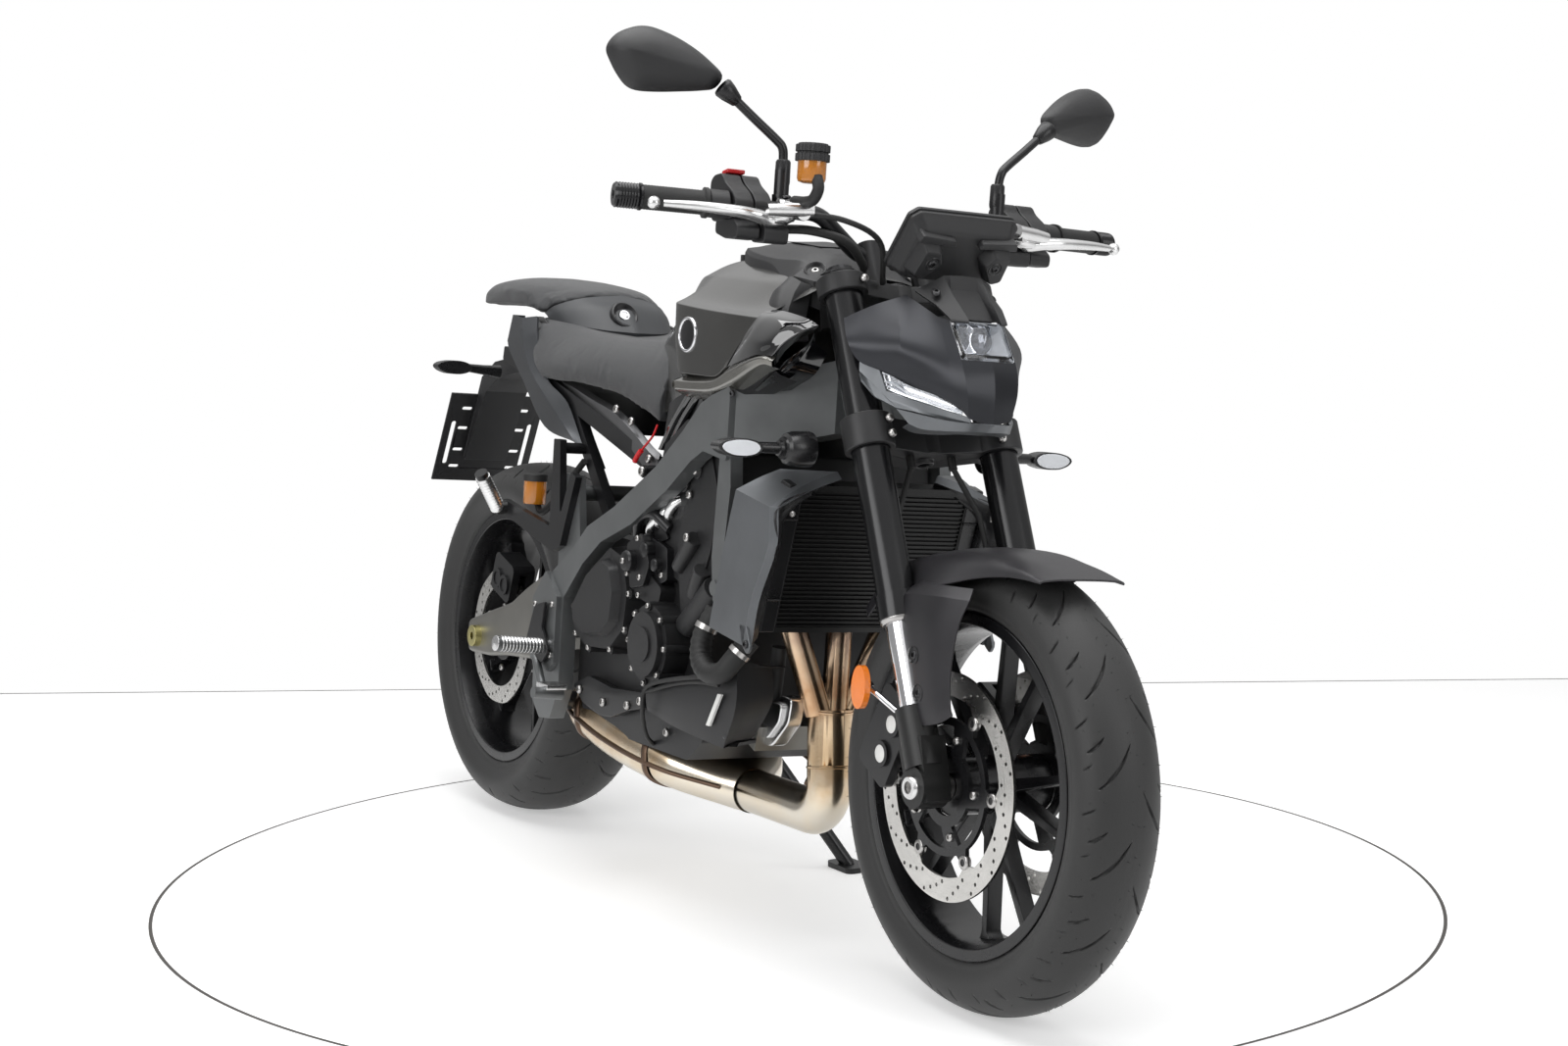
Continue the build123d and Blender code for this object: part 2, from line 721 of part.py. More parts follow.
crank_ribs = 8
with BuildPart() as right_engine_covers:
    raised(
        ((505, 430), (520, 385), (570, 366), (650, 372), (698, 410), (706, 470), (684, 526), (634, 538),
         (568, 497)),
        -1, case_half, case_half + 34, 14, 8,
    )
    raised(
        ((530, 432), (541, 402), (578, 388), (642, 394), (676, 420), (683, 468), (666, 508), (630, 518),
         (580, 490)),
        -1, case_half + 33, case_half + 48, 18, 22,
    )
    along_y(792, 402, -case_half - 40, -case_half, 60)
    along_y(792, 402, -case_half - 50, -case_half, 49)
    along_y(792, 402, -case_half - 53, -case_half, 26)
    slab(((692, 470), (788, 455), (798, 486), (704, 528)), -case_half - 26, -case_half, 8)
    for turn in range(crank_ribs):
        angle = 2 * pi * turn / crank_ribs
        along_y(
            792 + 58 * cos(angle), 402 + 58 * sin(angle), -case_half - 43, -case_half, 7
        )
    for x, z in ((512, 428), (524, 386), (572, 369), (648, 376), (694, 412), (702, 468), (680, 520)):
        along_y(x, z, -case_half - 30, -case_half, 8)

with BuildPart() as left_engine_covers:
    along_y(790, 400, case_half, case_half + 34, 92)
    along_y(790, 400, case_half, case_half + 46, 74)
    slab(
        ((460, 300), (566, 300), (640, 360), (640, 470), (560, 496), (476, 460)),
        case_half, case_half + 16, 8,
    )
    along_y(output_x, output_z, chain_y - 4, chain_y + 4, front_pitch_radius - seat_gap)

with BuildPart() as swingarm:
    along_y(pivot_x, pivot_z, -spar_inner + seat_gap, spar_inner - seat_gap, 24)
    along_y(pivot_x, pivot_z, -spar_outer, spar_outer, pivot_bolt_radius)
    arm_points = (
        (456, 426), (456, 352), (330, 332), (-20, 288), (-48, 296), (-48, 334), (-20, 344), (300, 392),
    )
    slab(arm_points, -right_arm_outer, arm_thickness - right_arm_outer, 6)
    slab(arm_points, left_arm_inner, left_arm_inner + arm_thickness, 6)
    slab(((456, 426), (456, 352), (348, 340), (342, 396)), -97, 121, 6)
    for y in (-right_arm_outer, left_arm_inner):
        along_y(0, rear_axle_z, y - 1, y + arm_thickness + 1, rear_axle_radius + seat_gap, Mode.SUBTRACT)

with BuildPart() as rear_axle:
    along_y(0, rear_axle_z, -right_arm_outer - 8, left_arm_inner + arm_thickness + 8, rear_axle_radius)
    along_y(0, rear_axle_z, -right_arm_outer - 16, -right_arm_outer, 19)
    along_y(0, rear_axle_z, left_arm_inner + arm_thickness, left_arm_inner + arm_thickness + 10, 16)
    along_y(0, rear_axle_z, arm_thickness - right_arm_outer, rear_hub_right - running_gap, 18)
    along_y(0, rear_axle_z, rear_hub_left + running_gap, left_arm_inner, 16)
    along_y(0, rear_axle_z, -right_arm_outer - 20, left_arm_inner + 60, 7, Mode.SUBTRACT)

with BuildPart() as rear_shock:
    rod((398.1, 0, 418.1), (457.7, 0, 593.3), 12)
    rod((405, 0, 438.5), (451, 0, 573.6), 30)

with BuildPart() as drive_chain:
    with BuildSketch(across(chain_y - chain_width / 2)) as loop:
        with Locations((0, rear_axle_z)):
            Circle(rear_pitch_radius + chain_height)
        with Locations((output_x, output_z)):
            Circle(front_pitch_radius + chain_height)
        make_hull()
    extrude(loop.sketch, amount=-chain_width)
    with BuildSketch(across(chain_y - chain_width / 2 - 1)) as inside:
        with Locations((0, rear_axle_z)):
            Circle(rear_pitch_radius)
        with Locations((output_x, output_z)):
            Circle(front_pitch_radius)
        make_hull()
    extrude(inside.sketch, amount=-chain_width - 2, mode=Mode.SUBTRACT)

rear_caliper = caliper(0, rear_axle_z, rear_disc_y, 72, 80, 150, 84, 0)

# ---- Cooling and exhaust --------------------------------------------------------------------
core_width, core_height = 326, 220
with BuildPart() as radiator:
    core_plane = Plane(origin=(1102, 0, 561), x_dir=(0, 1, 0), z_dir=(0.9627, 0, -0.2706))
    with BuildSketch(core_plane.offset(-24)) as core:
        RectangleRounded(core_width, core_height, 8)
    extrude(core.sketch, amount=24)
    with BuildSketch(core_plane) as face:
        Rectangle(core_width - 52, core_height - 16)
    extrude(face.sketch, amount=-4, mode=Mode.SUBTRACT)

signal_seat = 178
radiator_covers = []
turn_signals = []
for side in (-1, 1):
    with BuildPart() as cover:
        low_y, high_y = sorted((side * 195, side * 206))
        slab(
            ((1060, 655), (1155, 633), (1161, 586), (1150, 561), (1112, 462), (1124, 438), (1108, 440),
             (1096, 457), (1008, 455)),
            low_y, high_y,
        )
        strips = []
        for y, corners in (
            (206, ((1060, 655), (1155, 633), (1156, 622), (1057, 644))),
            (152, ((1077, 692), (1157, 690), (1157, 682), (1075, 684))),
        ):
            with BuildSketch(across(side * y)) as strip:
                Polygon(*corners, align=None)
            strips.append(strip.sketch)
        loft(strips, ruled=True)
        low_y, high_y = sorted((side * 168, side * signal_seat))
        slab(((1124, 640), (1151, 640), (1161, 722), (1134, 728)), low_y, high_y, 3)
        low_y, high_y = sorted((side * (core_width / 2 + seat_gap), side * 196))
        along_y(1088, 560, low_y, high_y, 8)
    radiator_covers.append(cover)
    with BuildPart() as signal:
        rod((1148, side * (signal_seat + seat_gap), 712), (1150, side * 246, 714), 8)
        with BuildSketch(Plane(origin=(1138, side * 222, 716), x_dir=(0, side, 0), z_dir=(1, 0, 0))) as pod:
            with Locations((34, 0)):
                RectangleRounded(72, 24, 11)
        extrude(pod.sketch, amount=26)
    turn_signals.append(signal)

header_radius = 19
pipe_radius, pipe_z = 33, 186
collector_top = (1046, -20, 340)
elbow_start = (1054, -20, 262)
elbow_slope = (elbow_start[0] - collector_top[0]) / (collector_top[2] - elbow_start[2])
elbow_x = elbow_start[0] + elbow_slope * (elbow_start[2] - pipe_z)
with BuildPart() as exhaust_headers:
    for y in (-88, 0, 88):
        pipe([(1000.3, y, 568), (1038, y, 568), (1024, y * 0.95, 470), (1046, y * 0.3 - 14, 335)],
             header_radius, 22)
    rod(collector_top, elbow_start, pipe_radius)
with BuildPart() as exhaust_pipe:
    pipe([elbow_start, (elbow_x, -20, pipe_z), (846, -26, pipe_z)], pipe_radius, 44)

with BuildPart() as exhaust_muffler:
    with BuildSketch(station(845)) as neck:
        with Locations((-26, 186)):
            RectangleRounded(66, 66, 30)
    with BuildSketch(station(760)) as shoulder:
        with Locations((-26, 194)):
            RectangleRounded(180, 74, 32)
    with BuildSketch(station(420)) as tail:
        with Locations((-26, 212)):
            RectangleRounded(206, 66, 28)
    loft([neck.sketch, shoulder.sketch])
    loft([shoulder.sketch, tail.sketch], ruled=True)

with BuildPart() as coolant_tank:
    slab(((730, 330), (760, 262), (930, 240), (985, 300), (985, 400), (930, 404), (900, 340)),
         -case_half - 26, -case_half - seat_gap, 8)

with BuildPart() as coolant_hose:
    pipe(
        [(904, -176, 452), (925, -194, 400), (985, -194, 376), (1049.4, -146, 428), (1058, -146, 458.8)],
        15, 24,
    )

# ---- Tank, seats and tail -------------------------------------------------------------------


def body_section(x, corners):
    """Closed section in the plane at x from (half width, z) corners, the same on both sides."""
    points = [(-y, z) for y, z in corners] + [(y, z) for y, z in reversed(corners)]
    with BuildSketch(station(x)) as section:
        Polygon(*points, align=None)
    return section.sketch


cap_x, cap_radius, cap_low, cap_high = 728, 32, 985, 996
cap_hinge_x, cap_hinge_z = cap_x + cap_radius + 2, cap_low + 7
with BuildPart() as fuel_tank:
    loft(
        [
            body_section(688, [(60, 790), (122, 800), (101, 890), (84, 936), (48, 968)]),
            body_section(782, [(60, 786), (148, 797), (142, 894), (115, 956), (56, 985)]),
            body_section(820, [(60, 784), (186, 808), (189, 910), (120, 957), (57, 986)]),
            body_section(900, [(60, 784), (189, 806), (192, 904), (120, 953), (58, 984)]),
            body_section(985, [(60, 806), (188, 818), (192, 897), (120, 947), (58, 976)]),
            body_section(1042, [(40, 858), (62, 868), (66, 925), (58, 942), (46, 958)]),
        ],
        ruled=True,
    )
    rod((cap_x, 0, 945), (cap_x, 0, cap_low), cap_radius + 5)
    both(((890, 743.3), (915, 764.3), (915, 832), (890, 832)), 158, 176)
    # Cover over the tank's front, tapering to its nose
    loft(
        [
            body_section(790, [(40, 980), (62, 984), (62, 1000), (34, 1004)]),
            body_section(925, [(40, 972), (93, 974), (88, 984), (50, 1008)]),
            body_section(985, [(40, 960), (106, 947), (86, 981), (50, 1000)]),
            body_section(1018, [(30, 940), (94, 944), (72, 968), (42, 984)]),
            body_section(1034, [(20, 900), (60, 900), (50, 950), (34, 958)]),
        ],
        ruled=True,
    )

with BuildPart() as fuel_cap:
    rod((cap_x, 0, cap_low + seat_gap), (cap_x, 0, cap_high), cap_radius)
    along_y(cap_hinge_x, cap_hinge_z, -9, 9, 4)

lip_inner, lip_outer = 192.5, 203
with BuildPart() as tank_panels:
    for side in (-1, 1):
        sections = []
        for x, corners in (
            (1006, ((152, 832), (196, 830), (192, 888), (154, 902))),
            (1092, ((160, 842), (201, 842), (191, 891), (160, 903))),
            (1142, ((158, 866), (184, 860), (176, 882), (156, 889))),
        ):
            with BuildSketch(station(x)) as section:
                Polygon(*((side * y, z) for y, z in corners), align=None)
            sections.append(section.sketch)
        loft(sections, ruled=True)
    both(
        ((838, 789), (955, 790), (1022, 804), (1122, 830), (1124, 840), (1090, 842), (1004, 828), (958, 811),
         (842, 806)),
        lip_inner, lip_outer, 2,
    )
    both(((836, 777), (928, 777), (985, 797), (985, 801), (955, 800), (836, 796)), 178, lip_outer)
    both(((925, 770.6), (945, 779.1), (945, 798), (925, 798)), 184.3, 191)

rail_inner, rail_outer = 126, 142
with BuildPart() as subframe:
    both(
        ((708, 640), (718, 668), (560, 712), (365, 767), (90, 836), (86, 812), (360, 741), (550, 686)),
        rail_inner, rail_outer, 4,
    )
    both(((548, 540), (560, 560), (372, 762), (350, 750)), rail_inner, rail_outer)
    for x, z in ((700, 656), (552, 554)):
        along_y(x, z, -spar_inner, -rail_inner, 10)
        along_y(x, z, rail_inner, spar_inner, 10)
    slab(((90, 830), (90, 836), (365, 767), (560, 712), (560, 706), (365, 761)), -rail_inner, rail_inner)

with BuildPart() as rider_seat:
    loft(
        [
            body_section(268, [(110, 792), (146, 800), (156, 822), (146, 850), (92, 872)]),
            body_section(330, [(110, 777), (148, 783), (157, 806), (142, 834), (94, 863)]),
            body_section(420, [(100, 753), (147, 775), (155, 802), (138, 829), (92, 856)]),
            body_section(520, [(96, 725), (142, 766), (146, 796), (130, 823), (84, 852)]),
            body_section(600, [(84, 716), (138, 749), (134, 790), (114, 822), (70, 855)]),
            body_section(684, [(60, 716), (130, 732), (120, 785), (98, 824), (44, 850)]),
        ],
        ruled=True,
    )

with BuildPart() as tail_covers:
    slab(((40, 842), (92, 835.9), (262, 793.1), (262, 862), (60, 880), (0, 872)), -104, 104)
    both(
        ((131, 888), (116, 842), (290, 700), (410, 682), (352, 742), (262, 792), (250, 884)), 144, 156, 4
    )
    for side in (-1, 1):
        low_y, high_y = sorted((side * 103, side * 145))
        slab(((150, 850), (240, 828), (250, 862), (160, 876)), low_y, high_y)

with BuildPart() as passenger_seat:
    loft(
        [
            body_section(-62, [(50, 903), (112, 906), (118, 920), (96, 936), (50, 943)]),
            body_section(36, [(60, 884), (124, 898), (128, 916), (106, 943), (50, 956)]),
            body_section(120, [(96, 875), (126, 897), (127, 914), (106, 940), (50, 951)]),
            body_section(196, [(96, 869), (112, 890), (114, 902), (98, 920), (50, 939)]),
            body_section(264, [(70, 863), (92, 872), (90, 886), (76, 904), (40, 922)]),
        ],
        ruled=True,
    )

with BuildPart() as plate_holder:
    slab(
        (
            (84, 812), (84, 836.5), (42, 841.4), (36, 836), (-180, 806), (-238, 776), (-308, 622), (-298, 616),
            (-214, 750), (-160, 776),
        ),
        -42, 42,
    )
    slab(((-246, 742), (-326, 574), (-330, 576), (-250, 744)), -96, 96)
    # Slots of the plate's face, cut square to it
    plate_face = Plane(origin=(-288, 0, 659), x_dir=(0, 1, 0), z_dir=(-0.9029, 0, 0.4300))
    with BuildSketch(plate_face.offset(-14)) as slots:
        for side in (-1, 1):
            with Locations((side * 78, 12)):
                SlotOverall(92, 9, rotation=90)
            for up in (-62, -20, 26, 62):
                with Locations((side * 58, up)):
                    SlotOverall(20, 7)
    extrude(slots.sketch, amount=28, mode=Mode.SUBTRACT)

with BuildPart() as tail_light:
    slab(((-8, 842), (20, 839), (39.8, 841.8), (-0.2, 871.8), (-26, 862)), -80, 80)

for side in (-1, 1):
    with BuildPart() as signal:
        low_y, high_y = sorted((side * 42, side * 120))
        along_y(-120, 792, low_y, high_y, 9)
        with BuildSketch(Plane(origin=(-133, side * 116, 792), x_dir=(0, side, 0), z_dir=(1, 0, 0))) as pod:
            with Locations((34, 0)):
                RectangleRounded(72, 24, 11)
        extrude(pod.sketch, amount=26)
    turn_signals.append(signal)

passenger_pegs = []
rider_pegs = []
bracket_inner = spar_outer + seat_gap
for side in (-1, 1):
    with BuildPart() as hanger:
        low_y, high_y = sorted((side * (spar_inner + 12 + seat_gap), side * 192))
        slab(
            ((424, 690), (448, 690), (462, 566), (494, 640), (514, 634), (468, 520), (440, 508),
             (236, 554), (232, 578), (424, 548)),
            low_y, high_y, 3,
        )
        rod((244, side * 206, 564), (268, side * 250, 622), 11)
        rod((246, side * 188, 565), (244, side * 208, 562), 11)
        low_y, high_y = sorted((side * (rail_outer + seat_gap), side * 182))
        along_y(436, 676, low_y, high_y, 9)
    passenger_pegs.append(hanger)
    with BuildPart() as peg:
        low_y, high_y = sorted((side * bracket_inner, side * (bracket_inner + 9)))
        slab(((402, 330), (402, 430), (446, 478), (492, 440), (492, 332), (470, 316)), low_y, high_y, 5)
        rod((464, side * 200, 356), (470, side * 295, 362), 12)
        pipe([(440, side * 210, 336), (500, side * 222, 290), (578, side * 232, 296)], 7, 24)
        rod((578, side * 226, 296), (580, side * 276, 300), 9)
    rider_pegs.append(peg)

with BuildPart() as rear_reservoir:
    rod((300, -164, 575), (300, -164, 624), 19)
    rod((300, -160, 600), (448, -147.3, 656), 5)

with BuildPart() as oil_cooler:
    rod((915.5, 60, 336), (966, 60, 336), 36)
    slab(((908, 290), (966, 268), (974, 304), (911.6, 314)), -96, 10)

with BuildPart() as brake_hoses:
    for side in (-1, 1):
        fork_bar(20.3, side * 34, lower_clamp_low - 18, lower_clamp_low - seat_gap, 6)
        pipe(
            [(1236, side * 34, 704), (1262, side * 66, 640), (1290, side * 82, 540),
             (1337.8, side * 84, 442), (1321.9, side * 84, 412.1)],
            4, 12,
        )

# ---- Side stand -----------------------------------------------------------------------------
lean_rad = radians(lean)
floor_up = Vector(0, -sin(lean_rad), cos(lean_rad))
leaned = Location((0, 0, 0), (-lean, 0, 0))
floor_drop = -rear_tyre.part.moved(leaned).bounding_box().min.Z
stand_down = Vector(0.38, 0.50, -0.78).normalized()
stand_up = Vector(-0.97, 0.20, -0.10).normalized()
stand_axis = stand_down.cross(stand_up).normalized()
stand_sweep = stand_down.get_angle(stand_up)
pivot = Vector(*stand_pivot)
eye_start = pivot
leg_radius = 11
eye_length = 2 * leg_radius + 2
eye_end = pivot + stand_axis * eye_length
leg_start = pivot + stand_axis * eye_length / 2
pad_thickness = 9
leg_reach = (
    leg_start.dot(floor_up) + floor_drop - pad_thickness * 0.6
) / -(stand_down.dot(floor_up))
leg_end = leg_start + stand_down * leg_reach
pad_origin = leg_end - floor_up * (leg_end.dot(floor_up) + floor_drop)

with BuildPart() as side_stand:
    rod(tuple(eye_start), tuple(eye_end), 18)
    rod(tuple(leg_start), tuple(leg_end), leg_radius)
    with BuildSketch(Plane(origin=tuple(pad_origin), x_dir=(1, 0, 0), z_dir=tuple(floor_up))) as pad:
        RectangleRounded(74, 46, 12)
    extrude(pad.sketch, amount=pad_thickness)
    with BuildSketch(Plane(origin=tuple(pad_origin), x_dir=(1, 0, 0), z_dir=tuple(floor_up))) as ground:
        Rectangle(300, 300)
    extrude(ground.sketch, amount=-40, mode=Mode.SUBTRACT)
    rod(tuple(pivot - stand_axis), tuple(eye_end + stand_axis), 8 + running_gap, Mode.SUBTRACT)

# The stand turns on a bolt between two ears of the frame
with frame:
    rod(tuple(pivot - stand_axis * 26), tuple(pivot - stand_axis * running_gap), 17)
    rod(tuple(pivot - stand_axis * 2), tuple(eye_end + stand_axis * 7), 8)
    rod(tuple(eye_end + stand_axis * running_gap), tuple(eye_end + stand_axis * 7), 14)

# ---- Parked pose and files ------------------------------------------------------------------
# The machine leans about the line through its tyres' lowest points, and its origin is set on the
# floor under the middle of its outline.
middle_x, middle_y = 700, 92
parked = Location((-middle_x, -middle_y, floor_drop)) * leaned

pieces = {
    "frame": [frame], "subframe": [subframe], "engine_case": [engine_case],
    "cylinder_head": [cylinder_head], "right_engine_covers": [right_engine_covers],
    "left_engine_covers": [left_engine_covers], "oil_cooler": [oil_cooler],
    "coolant_tank": [coolant_tank], "coolant_hose": [coolant_hose], "radiator": [radiator],
    "radiator_covers": radiator_covers, "exhaust_headers": [exhaust_headers],
    "exhaust_pipe": [exhaust_pipe], "exhaust_muffler": [exhaust_muffler],
    "fuel_tank": [fuel_tank], "fuel_cap": [fuel_cap], "tank_panels": [tank_panels],
    "rider_seat": [rider_seat], "passenger_seat": [passenger_seat], "tail_covers": [tail_covers],
    "tail_light": [tail_light], "plate_holder": [plate_holder], "turn_signals": turn_signals,
    "passenger_pegs": passenger_pegs, "rider_pegs": rider_pegs, "rear_reservoir": [rear_reservoir],
    "swingarm": [swingarm], "rear_shock": [rear_shock], "drive_chain": [drive_chain],
    "rear_axle": [rear_axle], "rear_caliper": [rear_caliper], "side_stand": [side_stand],
    "triple_clamps": [triple_clamps], "fork_outers": fork_outers, "fork_legs": fork_legs,
    "front_axle": [front_axle], "front_fender": [front_fender], "front_calipers": front_calipers,
    "reflectors": reflectors, "brake_hoses": [brake_hoses], "headlight_cowl": [headlight_cowl],
    "headlight": [headlight], "display": [display], "handlebar": [handlebar], "grips": grips,
    "switchgear": switchgear, "levers": levers, "brake_reservoir": [brake_reservoir],
    "mirrors": mirrors, "front_tyre": [front_tyre], "front_rim": [front_rim],
    "front_discs": front_discs, "rear_tyre": [rear_tyre], "rear_rim": [rear_rim],
    "rear_disc": [rear_disc], "rear_sprocket": [rear_sprocket],
}
for name, builders in pieces.items():
    solids = [solid for builder in builders for solid in builder.part.moved(parked).solids()]
    piece = solids[0] if len(solids) == 1 else Compound(children=solids)
    piece.label = name
    export_step(piece, f"parts/{name}.step")


def parked_point(x, y, z):
    """Where a point of the upright machine lies on the parked one."""
    return tuple(round(v, 3) for v in (parked * Location((x, y, z))).position)


def parked_direction(x, y, z):
    """Where a direction of the upright machine points on the parked one."""
    turned = (leaned * Location((x, y, z))).position
    return tuple(round(v, 6) for v in turned)


print("pieces", len(pieces))
print("front axle", parked_point(wheelbase, 0, front_axle_z), "rear axle", parked_point(0, 0, rear_axle_z))
print("axle direction", parked_direction(0, 1, 0))
print("steering axis", parked_point(*axis_origin), parked_direction(*axis_dir))
print("stand pivot", parked_point(*stand_pivot), parked_direction(*stand_axis), round(stand_sweep, 2))
print("cap hinge", parked_point(cap_hinge_x, 0, cap_hinge_z), parked_direction(0, 1, 0))
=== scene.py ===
# Standard motorcycle on its side stand: finishes, body panels, tyres, seats and small parts.
import bpy
import json
import math
import numpy as np
from mathutils import Matrix, Vector


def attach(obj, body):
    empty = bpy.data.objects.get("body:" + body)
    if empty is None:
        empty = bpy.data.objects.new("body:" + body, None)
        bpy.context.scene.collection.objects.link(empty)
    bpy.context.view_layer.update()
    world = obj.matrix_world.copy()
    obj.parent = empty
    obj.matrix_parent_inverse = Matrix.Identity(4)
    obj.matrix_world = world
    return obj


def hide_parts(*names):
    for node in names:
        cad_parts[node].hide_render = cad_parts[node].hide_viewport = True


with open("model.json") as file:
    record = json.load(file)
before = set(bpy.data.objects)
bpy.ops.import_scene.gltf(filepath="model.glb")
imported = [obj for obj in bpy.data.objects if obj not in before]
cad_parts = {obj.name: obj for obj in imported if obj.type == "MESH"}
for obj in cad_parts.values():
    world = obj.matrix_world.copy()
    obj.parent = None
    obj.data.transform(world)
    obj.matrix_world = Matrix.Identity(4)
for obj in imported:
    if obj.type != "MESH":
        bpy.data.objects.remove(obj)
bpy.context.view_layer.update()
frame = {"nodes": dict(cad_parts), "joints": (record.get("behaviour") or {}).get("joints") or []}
nodes = frame["nodes"]
joints = {joint["name"]: joint for joint in frame["joints"]}

# All shapes are worked out on the upright machine in millimetres: x forward from the rear axle,
# y to the rider's left, z up from the ground. The rear wheel's axle gives the lean.
rearRadius, frontRadius, wheelbase = 315.0, 300.0, 1430.0
rakeAngle, forkOffset = math.radians(24.67), 27.1
axleAt = np.array(joints["rear_wheel_spin"]["pos_m"])
forwardDir = np.array([1.0, 0.0, 0.0])
leftDir = np.array(joints["rear_wheel_spin"]["axis"]) / np.linalg.norm(joints["rear_wheel_spin"]["axis"])
upDir = np.cross(forwardDir, leftDir)
toFrame = np.stack([forwardDir, leftDir, upDir])


def place(points):
    # Upright millimetres to metres in the leaning frame
    moved = (np.asarray(points, float) - [0.0, 0.0, rearRadius]) * 0.001
    return moved @ toFrame + axleAt


# The steering axis: f forward of it, h up along it, level with the front axle at h = 0
forkUp = np.array([-math.sin(rakeAngle), 0.0, math.cos(rakeAngle)])
forkForward = np.array([math.cos(rakeAngle), 0.0, math.sin(rakeAngle)])
forkFoot = np.array([wheelbase, 0.0, frontRadius]) - forkOffset * forkForward


def onFork(points):
    # (f, y, h) in the fork's own coordinates to upright millimetres
    points = np.asarray(points, float)
    return forkFoot + points[..., :1] * forkForward + points[..., 1:2] * [0, 1, 0] + points[..., 2:] * forkUp


def mirrored(points):
    return np.asarray(points, float) * [1, -1, 1]


# ---- Meshes
def gridFaces(rows, columns, closeRows=False, closeColumns=False):
    # Quads of a rows x columns grid; a closed direction joins its last line to its first
    r = np.arange(rows if closeRows else rows - 1)[:, None]
    c = np.arange(columns if closeColumns else columns - 1)[None, :]
    r2, c2 = (r + 1) % rows, (c + 1) % columns
    quads = np.stack([r * columns + c, r * columns + c2, r2 * columns + c2, r2 * columns + c], -1)
    return quads.reshape(-1, 4)


def flipped(faces):
    return [np.asarray(face)[..., ::-1] for face in (faces if isinstance(faces, list) else [faces])]


class Shape:
    # Surfaces, each given as points and faces, gathered before they become one mesh
    def __init__(self, *surfaces):
        self.points, self.faces, self.count = [], [], 0
        for surface in surfaces:
            self.add(*surface)

    def add(self, points, faces):
        points = np.asarray(points, float).reshape(-1, 3)
        self.points.append(points)
        for face in (faces if isinstance(faces, list) else [faces]):
            self.faces.append(np.atleast_2d(face) + self.count)
        self.count += len(points)
        return self

    def both(self, points, faces):
        # The same surface on the right and, turned inside out again, on the left
        return self.add(points, faces).add(mirrored(points), flipped(faces))

    def sheet(self, *values, **options):
        # A smooth net on both sides
        return self.both(*net(*values, **options))


def pair(surface):
    return Shape().both(*surface)


def build(name, shape, material, body="chassis", node=None, sharp=32, wall=0, edge=0, segments=2, flat=False,
        weld=0.0):
    # One object from a Shape: wall is the sheet's thickness inwards, edge the rounding of its corners
    points = place(np.concatenate(shape.points))
    loops = np.concatenate([f.ravel() for f in shape.faces]).astype(np.int32)
    sizes = np.concatenate([np.full(len(f), f.shape[1]) for f in shape.faces]).astype(np.int32)
    mesh = bpy.data.meshes.new(name)
    mesh.vertices.add(len(points))
    mesh.vertices.foreach_set("co", points.astype(np.float32).ravel())
    mesh.loops.add(len(loops))
    mesh.loops.foreach_set("vertex_index", loops)
    mesh.polygons.add(len(sizes))
    mesh.polygons.foreach_set("loop_start", np.concatenate([[0], np.cumsum(sizes)[:-1]]).astype(np.int32))
    mesh.update(calc_edges=True)
    mesh.validate()
    mesh.polygons.foreach_set("use_smooth", np.full(len(mesh.polygons), not flat))
    obj = bpy.data.objects.new(name, mesh)
    bpy.context.scene.collection.objects.link(obj)
    mesh.materials.append(material)
    if weld:
        modifier = obj.modifiers.new("weld", "WELD")
        modifier.merge_threshold = weld * 0.001
    if wall:
        modifier = obj.modifiers.new("wall", "SOLIDIFY")
        modifier.thickness, modifier.offset = wall * 0.001, -1
    if edge:
        roundEdges(obj, edge, segments, sharp)
    elif not flat:
        mesh.set_sharp_from_angle(angle=math.radians(sharp))
    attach(obj, body)
    if node:
        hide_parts(node)
    return obj


def roundEdges(obj, width, segments=2, angle=32):
    # Small rounding on every sharp corner, with the flats kept flat in shading
    modifier = obj.modifiers.new("edge", "BEVEL")
    modifier.width, modifier.segments = width * 0.001, segments
    modifier.limit_method, modifier.angle_limit = "ANGLE", math.radians(angle)
    modifier.miter_outer = "MITER_ARC"
    normals = obj.modifiers.new("normals", "WEIGHTED_NORMAL")
    normals.keep_sharp, normals.weight = False, 60


def splineWeights(count, perSpan, creases=(), closed=False):
    # Catmull-Rom as a matrix: samples x control points; at a crease the two sides don't share a tangent
    spans = count if closed else count - 1
    t = np.arange(perSpan) / perSpan
    basis = 0.5 * np.stack([-t + 2 * t**2 - t**3, 2 - 5 * t**2 + 3 * t**3, t + 4 * t**2 - 3 * t**3,
        -t**2 + t**3], 1)
    weights = np.zeros((spans * perSpan + (0 if closed else 1), count))
    for span in range(spans):
        rows = slice(span * perSpan, (span + 1) * perSpan)
        ends = [span - 1, span, span + 1, span + 2]
        if closed:
            for column, end in enumerate(ends):
                weights[rows, end % count] += basis[:, column]
            continue
        for column, end in enumerate(ends):
            if column == 0 and (span == 0 or span in creases):
                weights[rows, span] += 2 * basis[:, 0]
                weights[rows, span + 1] -= basis[:, 0]
            elif column == 3 and (span + 1 == count - 1 or span + 1 in creases):
                weights[rows, span + 1] += 2 * basis[:, 3]
                weights[rows, span] -= basis[:, 3]
            else:
                weights[rows, end] += basis[:, column]
    if not closed:
        weights[-1, -1] = 1
    return weights


